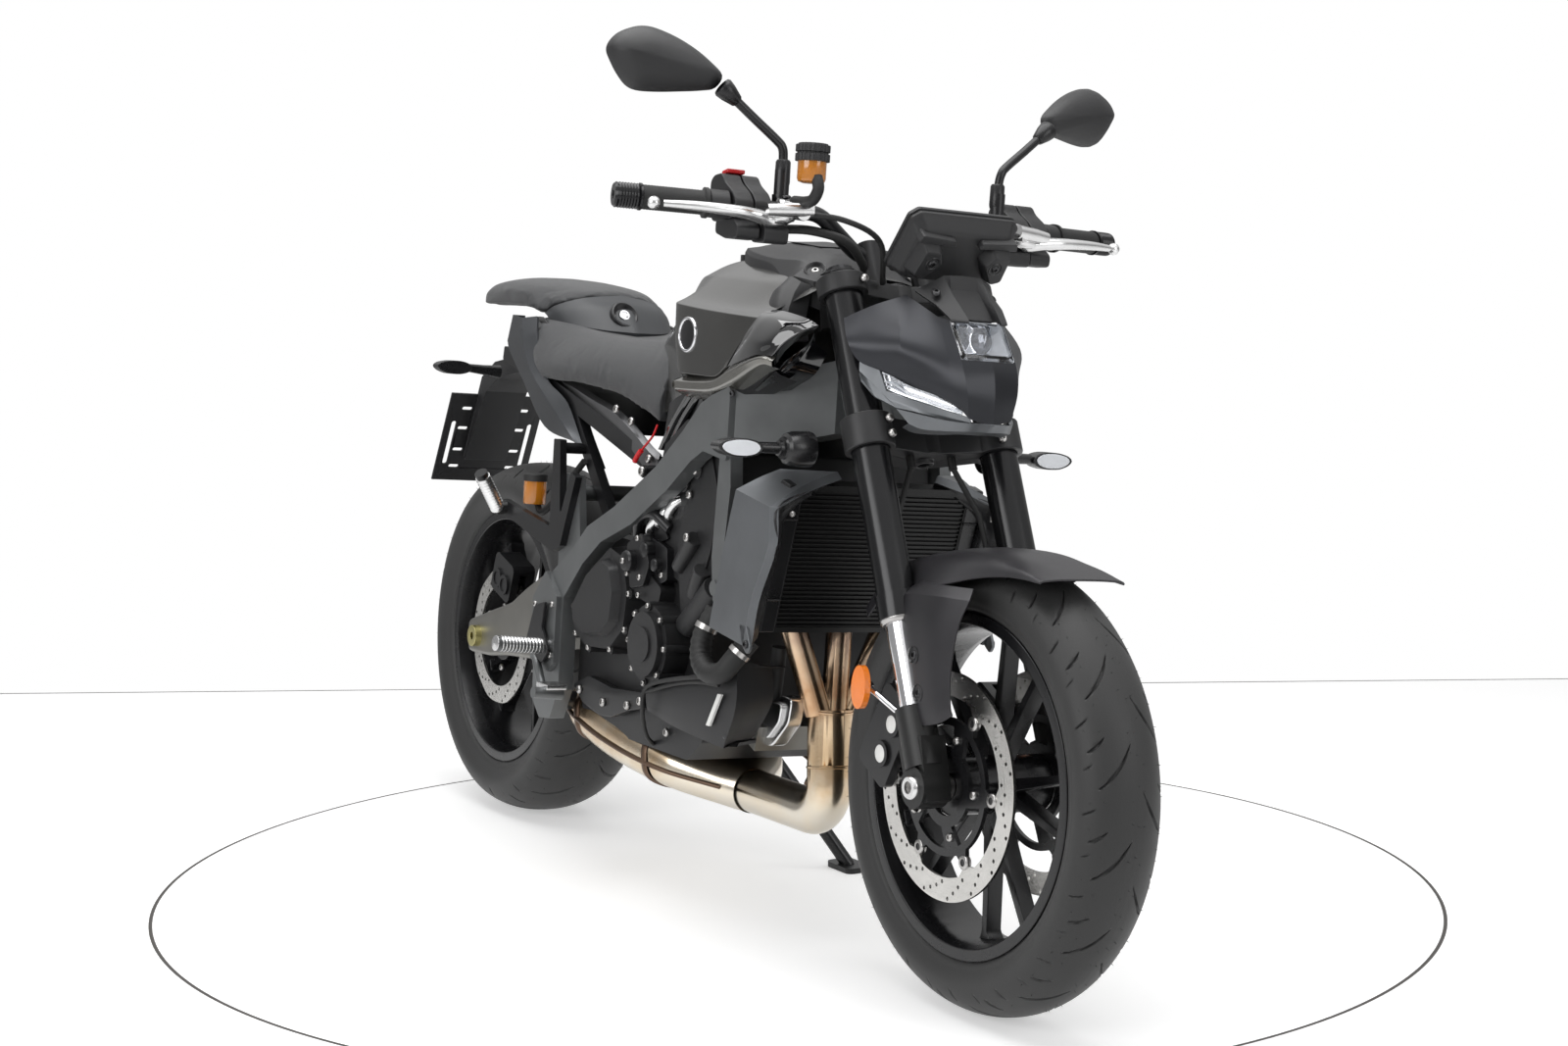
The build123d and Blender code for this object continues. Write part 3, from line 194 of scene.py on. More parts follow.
def smoothNet(net, perRow=8, perColumn=8, rowFolds=(), columnFolds=(), closeColumns=False):
    # A surface through a net of control points: Catmull-Rom along both of the net's directions
    net = np.asarray(net, float)
    down = splineWeights(net.shape[0], perRow, rowFolds)
    along = splineWeights(net.shape[1], perColumn, columnFolds, closeColumns)
    points = np.einsum("ia,abk,jb->ijk", down, net, along)
    faces = gridFaces(points.shape[0], points.shape[1], closeColumns=closeColumns)
    return points.reshape(-1, 3), faces


def smoothLine(points, perSpan=10, creases=(), closed=False):
    points = np.asarray(points, float)
    return splineWeights(len(points), perSpan, creases, closed) @ points


def frameAlong(path):
    # Tangent, side and up of a path at each point, turned as little as possible from one to the next
    tangent = np.gradient(path, axis=0)
    tangent /= np.linalg.norm(tangent, axis=1)[:, None]
    side = np.cross(tangent[0], [0.0, 0.0, 1.0])
    if np.linalg.norm(side) < 0.1:
        side = np.cross(tangent[0], [0.0, 1.0, 0.0])
    sides = [side / np.linalg.norm(side)]
    for direction in tangent[1:]:
        side = sides[-1] - direction * (sides[-1] @ direction)
        sides.append(side / np.linalg.norm(side))
    sides = np.array(sides)
    return tangent, sides, np.cross(sides, tangent)


def ringFaces(rings, around):
    # Faces between closed rings of equal length, with a face over each end
    last = np.arange(around)
    return [gridFaces(rings, around, closeColumns=True), last[::-1], last + (rings - 1) * around]


def tube(path, radius, around=16, squash=1.0):
    # A closed round section carried along a path; radius may change from point to point
    path = np.asarray(path, float)
    tangent, side, up = frameAlong(path)
    radius = np.broadcast_to(np.asarray(radius, float), (len(path),))[:, None, None]
    turn = np.linspace(0, math.tau, around, endpoint=False)
    ring = np.cos(turn)[None, :, None] * side[:, None] + np.sin(turn)[None, :, None] * up[:, None] * squash
    points = (path[:, None] + radius * ring).reshape(-1, 3)
    return points, ringFaces(len(path), around)


def turned(profile, centre=(0, 0, 0), axis=(0, 0, 1), around=32, closed=False):
    # A profile of (distance along the axis, radius) turned about an axis; a radius of 0 closes its end
    profile = np.asarray(profile, float)
    axis = np.asarray(axis, float) / np.linalg.norm(axis)
    side = np.cross(axis, [0, 0, 1.0])
    if np.linalg.norm(side) < 0.1:
        side = np.cross(axis, [1.0, 0, 0])
    side /= np.linalg.norm(side)
    up = np.cross(axis, side)
    turn = np.linspace(0, math.tau, around, endpoint=False)
    ring = np.cos(turn)[:, None] * side + np.sin(turn)[:, None] * up
    points = np.asarray(centre, float) + profile[:, None, :1] * axis + profile[:, None, 1:] * ring
    return points.reshape(-1, 3), gridFaces(len(profile), around, closeRows=closed, closeColumns=True)


def plate(outline, low, high, axes=None):
    # A flat outline of (a, b) points carried from low to high: a closed prism with n-gon ends.
    # axes turns (a, b, level) into a point; by default a is x, b is z and the level is y.
    outline = np.asarray(outline, float)
    area = np.sum(outline[:, 0] * np.roll(outline[:, 1], -1) - outline[:, 1] * np.roll(outline[:, 0], -1))
    if area < 0:
        outline = outline[::-1]
    axes = axes or (lambda a, b, c: np.stack([a, c, b], -1))
    n = len(outline)
    levels = np.repeat([low, high], n)
    points = axes(np.tile(outline[:, 0], 2), np.tile(outline[:, 1], 2), levels)
    normalSign = np.dot(np.cross(points[1] - points[0], points[2] - points[1]), points[n] - points[0])
    faces = ringFaces(2, n)
    return points, (faces if normalSign >= 0 else flipped(faces))


def rounded(corners, radius, steps=5):
    # An outline with each corner cut by an arc-like curve of that size
    corners = np.asarray(corners, float)
    before, after = np.roll(corners, 1, 0) - corners, np.roll(corners, -1, 0) - corners
    lengthBefore, lengthAfter = np.linalg.norm(before, axis=1), np.linalg.norm(after, axis=1)
    reach = np.minimum(radius, 0.45 * np.minimum(lengthBefore, lengthAfter))
    start = (corners + before / lengthBefore[:, None] * reach[:, None])[:, None]
    end = (corners + after / lengthAfter[:, None] * reach[:, None])[:, None]
    t = np.linspace(0, 1, steps)[None, :, None]
    return ((1 - t)**2 * start + 2 * t * (1 - t) * corners[:, None] + t**2 * end).reshape(-1, 2)


def scatter(template, spots, directions, sizes=1.0):
    # Copies of a small shape, drawn about the z axis, at many spots and pointing many ways
    points, faces = template
    spots, directions = np.atleast_2d(spots).astype(float), np.atleast_2d(directions).astype(float)
    directions = np.broadcast_to(directions, spots.shape)
    directions = directions / np.linalg.norm(directions, axis=1)[:, None]
    helper = np.where(np.abs(directions[:, 2:]) < 0.9, [[0, 0, 1.0]], [[1.0, 0, 0]])
    side = np.cross(helper, directions)
    side /= np.linalg.norm(side, axis=1)[:, None]
    up = np.cross(directions, side)
    sizes = np.broadcast_to(np.asarray(sizes, float), (len(spots),))[:, None, None]
    placed = (points[None, :, :1] * side[:, None] + points[None, :, 1:2] * up[:, None] + points[None, :, 2:]
        * directions[:, None]) * sizes + spots[:, None]
    offsets = np.arange(len(spots)) * len(points)
    allFaces = [(np.atleast_2d(f)[None] + offsets[:, None, None]).reshape(-1, np.atleast_2d(f).shape[1])
        for f in (faces if isinstance(faces, list) else [faces])]
    return placed.reshape(-1, 3), allFaces


def boltHead(radius=5.0, height=5.0, hexDepth=2.5):
    # A button head with a six-sided recess: the recess' ring has a point at each corner
    outer = np.array([
        [0, radius * 0.96], [height * 0.45, radius], [height * 0.85, radius * 0.86], [height, radius * 0.62],
        [height, radius * 0.44], [height - hexDepth, radius * 0.42], [height - hexDepth, 0.0]])
    return turned(outer, around=12)


def bolts(name, spots, way, material, radius=6, height=5, bothSides=True, body="chassis", hexDepth=None):
    # Hex-socket heads at the given spots on the right side, and mirrored when wanted
    spots, way = np.atleast_2d(spots).astype(float), np.broadcast_to(way, (len(spots), 3)).astype(float)
    if bothSides:
        spots, way = np.concatenate([spots, mirrored(spots)]), np.concatenate([way, mirrored(way)])
    heads = scatter(boltHead(radius, height, hexDepth or height * 0.5), spots, way)
    return build(name, Shape(heads), material, body, sharp=50)


right = (0, -1, 0)
print("core ready")


# ---- Effects that several finishes share, as node groups
def newGroup(name, inputs, outputs):
    group = bpy.data.node_groups.new(name, "ShaderNodeTree")
    for label, kind, value in inputs:
        socket = group.interface.new_socket(label, in_out="INPUT", socket_type=kind)
        if value is not None:
            socket.default_value = value
    for label, kind in outputs:
        group.interface.new_socket(label, in_out="OUTPUT", socket_type=kind)
    return group, group.nodes.new("NodeGroupInput"), group.nodes.new("NodeGroupOutput")


def node(tree, kind, links=(), **settings):
    # A node with its settings, and the links into it as (input, output socket)
    made = tree.nodes.new(kind)
    for key, value in settings.items():
        if key.startswith("in_"):
            made.inputs[key[3:].replace("_", " ")].default_value = value
        else:
            setattr(made, key, value)
    for label, source in links:
        tree.links.new(source, made.inputs[label])
    return made


def makeGrainGroup():
    # Fine noise for relief, and a slow one that shifts gloss and shade over the whole surface
    group, inputs, outputs = newGroup("surfaceGrain",
        [("Fine Scale", "NodeSocketFloat", 900.0), ("Patch Scale", "NodeSocketFloat", 9.0)],
        [("Height", "NodeSocketFloat"), ("Patches", "NodeSocketFloat")])
    place = node(group, "ShaderNodeTexCoord").outputs["Object"]
    fine = node(group, "ShaderNodeTexNoise", [("Vector", place), ("Scale", inputs.outputs["Fine Scale"])],
        in_Detail=3.0)
    slow = node(group, "ShaderNodeTexNoise", [("Vector", place), ("Scale", inputs.outputs["Patch Scale"])],
        in_Detail=5.0, in_Roughness=0.62)
    group.links.new(fine.outputs["Fac"], outputs.inputs["Height"])
    group.links.new(slow.outputs["Fac"], outputs.inputs["Patches"])
    return group


def makeCellGroup():
    # Pebbled cells for grained covers and moulded rubber: the cell walls are low, their middles high
    group, inputs, outputs = newGroup("pebbleCells", [("Scale", "NodeSocketFloat", 700.0)],
        [("Height", "NodeSocketFloat")])
    place = node(group, "ShaderNodeTexCoord").outputs["Object"]
    cells = node(group, "ShaderNodeTexVoronoi", [("Vector", place), ("Scale", inputs.outputs["Scale"])],
        feature="DISTANCE_TO_EDGE")
    ramp = node(group, "ShaderNodeMapRange", [("Value", cells.outputs["Distance"])], in_From_Max=0.25)
    group.links.new(ramp.outputs["Result"], outputs.inputs["Height"])
    return group


def makeRingGroup():
    # Turning marks: fine rings about the piece's own axis, from its ring attribute (radius in metres)
    group, inputs, outputs = newGroup("turnedRings", [("Ring Scale", "NodeSocketFloat", 2500.0)],
        [("Height", "NodeSocketFloat")])
    ring = node(group, "ShaderNodeAttribute", attribute_name="ring")
    wave = node(group, "ShaderNodeTexNoise",
        [("W", ring.outputs["Fac"]), ("Scale", inputs.outputs["Ring Scale"])], noise_dimensions="1D",
        in_Detail=3.0)
    group.links.new(wave.outputs["Fac"], outputs.inputs["Height"])
    return group


grainGroup, cellGroup, ringGroup = makeGrainGroup(), makeCellGroup(), makeRingGroup()


def newMaterial(name, settings):
    material = bpy.data.materials.new(name)
    material.use_nodes = True
    shader = material.node_tree.nodes["Principled BSDF"]
    for label, value in settings.items():
        shader.inputs[label].default_value = value
    return material, material.node_tree, shader


def finish(name, color, metallic=0.0, roughness=0.45, coat=0.0, coatRoughness=0.1, grain=900.0, relief=0.04,
        gloss=0.10, shade=0.12, cells=0.0, cellRelief=0.0, sheen=0.0, rings=0.0, transmission=0.0,
        emission=0.0):
    # A finish: colour and gloss drift a little over the surface, and fine relief breaks up highlights
    material, tree, shader = newMaterial(name, {"Metallic": metallic, "Coat Weight": coat,
        "Coat Roughness": coatRoughness, "IOR": 1.45, "Transmission Weight": transmission,
        "Sheen Weight": sheen, "Sheen Roughness": 0.45, "Emission Color": (*color, 1),
        "Emission Strength": emission})
    effect = node(tree, "ShaderNodeGroup", node_tree=grainGroup, in_Fine_Scale=grain)

    def drift(low, high):
        # The slow noise as a value that runs from low to high
        return node(tree, "ShaderNodeMapRange", [("Value", effect.outputs["Patches"])], in_From_Min=0.3,
            in_From_Max=0.7, in_To_Min=low, in_To_Max=high).outputs["Result"]

    base = node(tree, "ShaderNodeVectorMath", [("Scale", drift(1 - shade, 1 + shade))], operation="SCALE",
        in_Vector=color)
    tree.links.new(base.outputs["Vector"], shader.inputs["Base Color"])
    tree.links.new(drift(max(0.02, roughness * (1 - gloss)), roughness * (1 + gloss)),
        shader.inputs["Roughness"])
    layers = [(effect, relief, 0.001)]
    if cells:
        layers.append((node(tree, "ShaderNodeGroup", node_tree=cellGroup, in_Scale=cells), cellRelief, 0.001))
    if rings:
        layers.append((node(tree, "ShaderNodeGroup", node_tree=ringGroup), rings, 0.0005))
    normal = []
    for source, strength, distance in layers:
        if strength:
            bump = node(tree, "ShaderNodeBump", [("Height", source.outputs["Height"])] + normal,
                in_Strength=strength, in_Distance=distance)
            normal = [("Normal", bump.outputs["Normal"])]
    for label, source in normal:
        tree.links.new(source, shader.inputs[label])
    return material


def tintSteel(name):
    # Welded stainless pipe: straw, bronze and dark brown bands drift with height and along the machine
    material = finish(name, (0.6, 0.55, 0.47), 1.0, 0.24, relief=0.05, grain=260.0)
    tree = material.node_tree
    shader = tree.nodes["Principled BSDF"]
    where = node(tree, "ShaderNodeTexCoord")
    split = node(tree, "ShaderNodeSeparateXYZ", [("Vector", where.outputs["Object"])])
    blotch = node(tree, "ShaderNodeTexNoise", [("Vector", where.outputs["Object"])], in_Scale=14.0,
        in_Detail=6.0, in_Roughness=0.6)
    height = node(tree, "ShaderNodeMapRange", [("Value", split.outputs["Z"])], in_From_Min=0.12,
        in_From_Max=0.47)
    along = node(tree, "ShaderNodeMath", [(0, blotch.outputs["Fac"])], operation="MULTIPLY_ADD")
    along.inputs[1].default_value, along.inputs[2].default_value = 0.55, -0.28
    heat = node(tree, "ShaderNodeMath", [(0, height.outputs["Result"]), (1, along.outputs["Value"])],
        operation="ADD")
    ramp = node(tree, "ShaderNodeValToRGB", [("Fac", heat.outputs["Value"])])
    stops = [(0.0, (0.60, 0.58, 0.54)), (0.25, (0.63, 0.56, 0.45)), (0.42, (0.50, 0.36, 0.22)),
        (0.55, (0.62, 0.47, 0.31)), (0.72, (0.42, 0.25, 0.14)), (0.86, (0.58, 0.43, 0.30)),
        (1.0, (0.33, 0.22, 0.17))]
    elements = ramp.color_ramp.elements
    while len(elements) < len(stops):
        elements.new(0.5)
    for element, (position, color) in zip(elements, stops):
        element.position, element.color = position, (*color, 1)
    tree.links.new(ramp.outputs["Color"], shader.inputs["Base Color"])
    return material


panelGrey = finish("panelGrey", (0.060, 0.063, 0.068), 0.55, 0.36, relief=0.02, grain=1400)
shroudGrey = finish("shroudGrey", (0.135, 0.142, 0.150), 0.6, 0.40, relief=0.02, grain=1400)
frameGrey = finish("frameGrey", (0.150, 0.156, 0.158), 0.6, 0.38, relief=0.05, grain=700)
cowlGrey = finish("cowlGrey", (0.021, 0.022, 0.026), 0.5, 0.33, relief=0.02, grain=1400)
fenderBlack = finish("fenderBlack", (0.026, 0.025, 0.028), 0.3, 0.36, relief=0.02, grain=1400)
tankGrey = finish("tankGrey", (0.040, 0.039, 0.036), 0.5, 0.22, coat=0.6, relief=0.0)
glossBlack = finish("glossBlack", (0.004, 0.004, 0.005), 0, 0.06, coat=1.0, coatRoughness=0.03, relief=0.0,
    gloss=0.3)
lipGrey = finish("lipGrey", (0.16, 0.155, 0.14), 0.8, 0.25, coat=0.7, relief=0.0)
satinBlack = finish("satinBlack", (0.011, 0.011, 0.012), 0.2, 0.30, relief=0.03)
wheelBlack = finish("wheelBlack", (0.009, 0.009, 0.010), 0.2, 0.27, relief=0.03)
forkBlack = finish("forkBlack", (0.010, 0.010, 0.011), 0.3, 0.20, relief=0.02, grain=600)
engineBlack = finish("engineBlack", (0.020, 0.020, 0.021), 0.3, 0.44, relief=0.22, grain=520)
clampBlack = finish("clampBlack", (0.022, 0.022, 0.023), 0.3, 0.42, relief=0.12, grain=620)
mattePlastic = finish("mattePlastic", (0.013, 0.013, 0.014), 0, 0.50, cells=1100, cellRelief=0.10)
sideBlack = finish("sideBlack", (0.020, 0.020, 0.021), 0, 0.46, cells=900, cellRelief=0.12)
smoothPlastic = finish("smoothPlastic", (0.012, 0.012, 0.013), 0, 0.28, relief=0.02)
seatCover = finish("seatCover", (0.022, 0.023, 0.025), 0, 0.52, cells=620, cellRelief=0.30, sheen=0.25)
seatPanel = finish("seatPanel", (0.032, 0.034, 0.037), 0, 0.42, cells=1300, cellRelief=0.08)
softRubber = finish("softRubber", (0.012, 0.012, 0.012), 0, 0.62, relief=0.10, grain=400)
tyreRubber = finish("tyreRubber", (0.021, 0.021, 0.021), 0, 0.56, relief=0.16, grain=380, sheen=0.08)
radiatorBlack = finish("radiatorBlack", (0.010, 0.010, 0.010), 0.3, 0.40, relief=0.05)
discSteel = finish("discSteel", (0.56, 0.55, 0.53), 1.0, 0.26, rings=0.25, relief=0.0)
chromeTube = finish("chromeTube", (0.78, 0.78, 0.80), 1.0, 0.08, relief=0.0)
boltSteel = finish("boltSteel", (0.42, 0.41, 0.40), 1.0, 0.30)
darkBolt = finish("darkBolt", (0.05, 0.05, 0.052), 0.9, 0.34)
brightAlloy = finish("brightAlloy", (0.66, 0.66, 0.66), 1.0, 0.26, relief=0.05, grain=500)
armAlloy = finish("armAlloy", (0.20, 0.195, 0.18), 0.8, 0.40, relief=0.08, grain=600)
railAlloy = finish("railAlloy", (0.15, 0.15, 0.155), 0.8, 0.30, grain=600)
zincYellow = finish("zincYellow", (0.55, 0.50, 0.22), 1.0, 0.30)
chainSteel = finish("chainSteel", (0.30, 0.27, 0.20), 1.0, 0.36, relief=0.05)
mirrorGlass = finish("mirrorGlass", (0.75, 0.77, 0.80), 1.0, 0.03, relief=0.0)
# Amber reflectors: the small emission is painted glow, as a reflector is no lamp
reflectorAmberPaintedGlow = finish("reflectorAmberPaintedGlow", (0.85, 0.20, 0.004), 0, 0.12, coat=1.0, cells=420, cellRelief=0.5,
    emission=0.12)
# Amber fluid cups: partly see-through, which is real, and the small emission is painted glow, as the cups are
# no lamp
cupAmberPaintedGlow = finish("cupAmberPaintedGlow", (0.62, 0.22, 0.012), 0, 0.14, coat=0.8, relief=0.0, transmission=0.35,
    emission=0.05)
lampSilver = finish("lampSilver", (0.85, 0.86, 0.88), 1.0, 0.10, relief=0.03, grain=300)
lampWhite = finish("lampWhite", (0.72, 0.74, 0.77), 0, 0.25, relief=0.03, emission=0.12)
redPlastic = finish("redPlastic", (0.55, 0.012, 0.015), 0, 0.30, relief=0.0)
stickerWhite = finish("stickerWhite", (0.78, 0.78, 0.76), 0, 0.45, relief=0.03)
screenGlass = finish("screenGlass", (0.004, 0.004, 0.005), 0, 0.05, coat=1.0, relief=0.0)
badgeSilver = finish("badgeSilver", (0.70, 0.70, 0.72), 1.0, 0.16, relief=0.0)
eyeGlass = finish("eyeGlass", (0.16, 0.17, 0.19), 0.7, 0.06, coat=1.0, coatRoughness=0.02, relief=0.0)
heatSteel = tintSteel("heatSteel")
weldBrown = finish("weldBrown", (0.13, 0.085, 0.06), 0.9, 0.45, relief=0.15, grain=500)
clearLens = newMaterial("clearLens", {"Base Color": (0.95, 0.96, 0.98, 1), "Roughness": 0.03,
    "Transmission Weight": 1.0, "IOR": 1.49})[0]

# The CAD's pieces that show: their finish, and the width of their rounded corners in mm
cadFinish = {
    "frame": (frameGrey, 2.5), "subframe": (satinBlack, 1.5), "engine_case": (engineBlack, 2.0),
    "cylinder_head": (engineBlack, 2.0), "right_engine_covers": (engineBlack, 2.5),
    "left_engine_covers": (engineBlack, 2.5), "oil_cooler": (armAlloy, 1.5), "radiator": (radiatorBlack, 1.0),
    "exhaust_headers": (heatSteel, 0), "exhaust_pipe": (heatSteel, 0), "fuel_cap": (satinBlack, 1.0),
    "tail_light": (glossBlack, 1.5), "plate_holder": (mattePlastic, 1.0), "passenger_pegs": (satinBlack, 1.2),
    "rider_pegs": (frameGrey, 1.0), "swingarm": (armAlloy, 2.5), "rear_shock": (satinBlack, 1.0),
    "drive_chain": (chainSteel, 0.5), "rear_axle": (zincYellow, 0.6), "rear_caliper": (satinBlack, 1.5),
    "side_stand": (satinBlack, 1.0), "triple_clamps": (clampBlack, 2.0), "fork_outers": (forkBlack, 0.6),
    "fork_legs": (chromeTube, 1.0), "front_axle": (boltSteel, 0.6), "front_calipers": (satinBlack, 2.0),
    "reflectors": (reflectorAmberPaintedGlow, 1.0), "brake_hoses": (softRubber, 0), "handlebar": (satinBlack, 0.8),
    "front_rim": (wheelBlack, 1.5), "rear_rim": (wheelBlack, 1.5), "rear_sprocket": (chainSteel, 0.5),
}
for name, (material, width) in cadFinish.items():
    piece = nodes[name]
    piece.data.materials.clear()
    piece.data.materials.append(material)
    joined = piece.modifiers.new("joined", "WELD")
    joined.merge_threshold = 0.00002
    if width:
        roundEdges(piece, width)
print("finishes on the frame's own pieces")

# ---- Tyres: a crowned section turned about the axle, on a grid sheared along the grooves so that
# their edges run with the mesh. Groove depth is a function of the distance round and across.
tyres = {
    "front": {"axle": (wheelbase, 0, frontRadius), "radius": frontRadius, "pitches": 16, "perPitch": 56,
        "section": [(47.4,220), (48.2,227), (53.5,231), (54.2,235), (57.6,243), (59.6,253), (58.8,262),
        (55.6,271), (49.5,280), (40,288), (27,294.8), (13,298.8), (0,300)], "nubRows": (0, 9, 44, 62)},
    "rear": {"axle": (0, 0, rearRadius), "radius": rearRadius, "pitches": 16, "perPitch": 58,
        "section": [(69.4,220), (70.2,227), (76,231), (77,236), (83.5,246), (88.5,257), (89.9,268), (87,279),
        (79.5,290), (66,300), (46,308.6), (23,313.6), (0,315)], "nubRows": (0, 14, 60, 88)},
}
# Grooves: start and end across from the crown, place in the pitch, width and depth in mm, on a tyre
# that reaches grooveHalf to each side; a wider one stretches them
grooves = [(9,50,0.00,4.6,3.6), (40,61,0.46,4.8,3.4), (55,72,0.80,3.4,2.6), (58,70,0.30,2.2,1.8)]
grooveHalf = 59.6
# The grid leans back with the distance from the crown: sweep x (1 - e^(-distance / fade))
sweep, fade = 96, 40


def shearOf(across):
    return sweep * (1 - np.exp(-np.abs(across) / fade))


def tyreShape(values):
    section = np.array(values["section"], float)
    half = smoothLine(section, 5, creases=(1, 3))
    profile = np.concatenate([half[:-1], half[::-1] * [-1, 1]])
    steps = np.linalg.norm(np.diff(profile, axis=0), axis=1)
    arc = np.concatenate([[0], np.cumsum(steps)])
    arc -= arc[len(half) - 1]
    # Even spacing across the tread, with the profile's own points kept near the beads
    even = np.linspace(arc[0], arc[-1], 92)
    y, r = np.interp(even, arc, profile[:, 0]), np.interp(even, arc, profile[:, 1])
    radius = values["radius"]
    count = values["pitches"] * values["perPitch"]
    round_ = np.arange(count)[:, None] / count
    depth = np.zeros((count, len(even)))
    pitchLength = math.tau * radius / values["pitches"]
    stretch = section[:-1, 0].max() / grooveHalf
    for start, end, placeIn, width, deep in grooves:
        start, end = start * stretch, end * (1 + (stretch - 1) * 0.9)
        along = np.clip((np.abs(even) - start) / (end - start), 0, 1)
        inside = (np.abs(even) > start) & (np.abs(even) < end)
        slope = sweep / fade * np.exp(-np.abs(even) / fade)
        wide = width * np.sqrt(1 + slope**2) * np.sqrt(np.sin(math.pi * along) + 1e-9) * inside
        phase = (round_ * values["pitches"] + np.where(even < 0, 0.5, 0.0)[None, :]) % 1
        away = np.abs((phase - placeIn + 0.5) % 1 - 0.5) * pitchLength
        cut = np.clip((1 - 2 * away / np.maximum(wide, 1e-6)[None, :]) * 2.2, 0, 1) * inside
        depth = np.maximum(depth, deep * cut)
    angle = math.tau * round_ - (shearOf(even) / radius)[None, :]
    normalY, normalR = np.gradient(r), -np.gradient(y)
    length = np.hypot(normalY, normalR)
    normalY, normalR = normalY / length, normalR / length
    sign = -1 if normalR[len(even) // 2] > 0 else 1
    yy = y[None, :] + sign * depth * normalY[None, :]
    rr = r[None, :] + sign * depth * normalR[None, :]
    cx, cy, cz = values["axle"]
    points = np.stack([cx + rr * np.cos(angle), cy + yy, cz + rr * np.sin(angle)], -1)
    return points.reshape(-1, 3), gridFaces(count, len(even), closeRows=True), y, r, even


def nubs(values, y, r, even, seed):
    # Moulding whiskers: thin three-sided spikes in rows, none near the floor
    random = np.random.default_rng(seed)
    spike = (np.array([[0.55, 0, 0], [-0.28, 0.48, 0], [-0.28, -0.48, 0], [0.15, 0.1, 1.0]]),
        [np.array([[0, 1, 3], [1, 2, 3], [2, 0, 3]])])
    spots, ways = [], []
    number = 46
    for row in values["nubRows"]:
        for side in ((1,) if row == 0 else (-1, 1)):
            angle = math.tau * (np.arange(number) + random.uniform(-0.3, 0.3, number)) / number
            angle = angle[np.sin(angle) > -0.9]
            at = side * row
            yy, rr = np.interp(at, even, y), np.interp(at, even, r)
            y2, r2 = np.interp(at + 1, even, y), np.interp(at + 1, even, r)
            out = np.array([-(r2 - rr), (y2 - yy)])
            out = out / np.linalg.norm(out) * (1 if out[1] > 0 else -1)
            radial = np.stack([np.cos(angle), 0 * angle, np.sin(angle)], 1)
            spots.append(np.array(values["axle"]) + [0, yy, 0] + rr * radial)
            ways.append(radial * out[1] + [0, out[0], 0] + random.uniform(-0.25, 0.25, (len(angle), 3)))
    spots, ways = np.concatenate(spots), np.concatenate(ways)
    points, faces = scatter(spike, spots, ways)
    tall = random.uniform(2.0, 5.5, len(spots))
    tips = np.arange(len(spots)) * 4 + 3
    ways = ways / np.linalg.norm(ways, axis=1)[:, None]
    points[tips] += ways * (tall - 1)[:, None]
    return points, faces


for end, body in (("front", "front_wheel"), ("rear", "rear_wheel")):
    points, faces, sectionY, sectionR, across = tyreShape(tyres[end])
    shape = Shape((points, faces[:, ::-1]), nubs(tyres[end], sectionY, sectionR, across, 7))
    tyre = build(end + "TyreTread", shape, tyreRubber, body, end + "_tyre", sharp=38)
print("tyres")


# ---- Brake discs: a drilled band on floating bobbins, carried by a black star
def onCircle(radius, turn):
    return np.stack([radius * np.cos(turn), radius * np.sin(turn)], 1)


def circlePoints(radius, count, at=(0, 0)):
    return np.array(at) + onCircle(radius, np.arange(count) / count * math.tau)


def pierced(outlines, low, high, axes):
    # A flat plate between two levels, filled between its outlines: the first is its edge, the rest its holes
    curve = bpy.data.curves.new("outline", "CURVE")
    curve.dimensions, curve.fill_mode = "2D", "BOTH"
    curve.extrude = 0.5
    for outline in outlines:
        spline = curve.splines.new("POLY")
        spline.points.add(len(outline) - 1)
        flat = np.column_stack([outline, np.zeros(len(outline)), np.ones(len(outline))])
        spline.points.foreach_set("co", flat.astype(np.float32).ravel())
        spline.use_cyclic_u = True
    holder = bpy.data.objects.new("outline", curve)
    mesh = bpy.data.meshes.new_from_object(holder)
    points = np.zeros(len(mesh.vertices) * 3)
    mesh.vertices.foreach_get("co", points)
    points = points.reshape(-1, 3)
    sizes = np.zeros(len(mesh.polygons), int)
    mesh.polygons.foreach_get("loop_total", sizes)
    corners = np.zeros(len(mesh.loops), int)
    mesh.loops.foreach_get("vertex_index", corners)
    starts = np.concatenate([[0], np.cumsum(sizes)[:-1]])
    faces = [corners[starts[sizes == n][:, None] + np.arange(n)] for n in np.unique(sizes)]
    bpy.data.objects.remove(holder)
    bpy.data.curves.remove(curve)
    bpy.data.meshes.remove(mesh)
    level = np.where(points[:, 2] > 0, high, low)
    return axes(points[:, 0], points[:, 1], level), faces


def discAxes(axle, y):
    # Drawn facing the rider's right: across the disc's plane, then outwards along y
    return lambda a, b, c: np.stack([axle[0] + a, y + c, axle[2] - b], -1)


frontDisc = {
    "axle": (wheelbase, 0, frontRadius), "outer": 149, "inner": 117.5, "bobbins": 6, "bobbinAt": 103,
    "bolts": 5, "boltAt": 66, "hub": 38, "holes": 66, "body": "front_wheel",
    "rim": 90, "ear": 19, "window": (53, 80), "windowLean": 0.16,
}
discs = {
    "frontRight": {**frontDisc, "y": -74, "side": -1, "node": None},
    "frontLeft": {**frontDisc, "y": 74, "side": 1, "node": "front_discs"},
    "rear": {"axle": (0, 0, rearRadius), "y": -77, "side": -1, "outer": 122.5, "inner": 91, "bobbins": 0,
        "bolts": 5, "boltAt": 58, "holes": 50, "body": "rear_wheel", "node": "rear_disc"},
}
bolt = boltHead(5.2, 4.5, 2.2)
# Half the band's thickness, and its holes' radius and places across it
bandHalf, holeRadius, holeRows = 2.1, 2.7, (-10.5, -3.5, 3.5, 10.5)


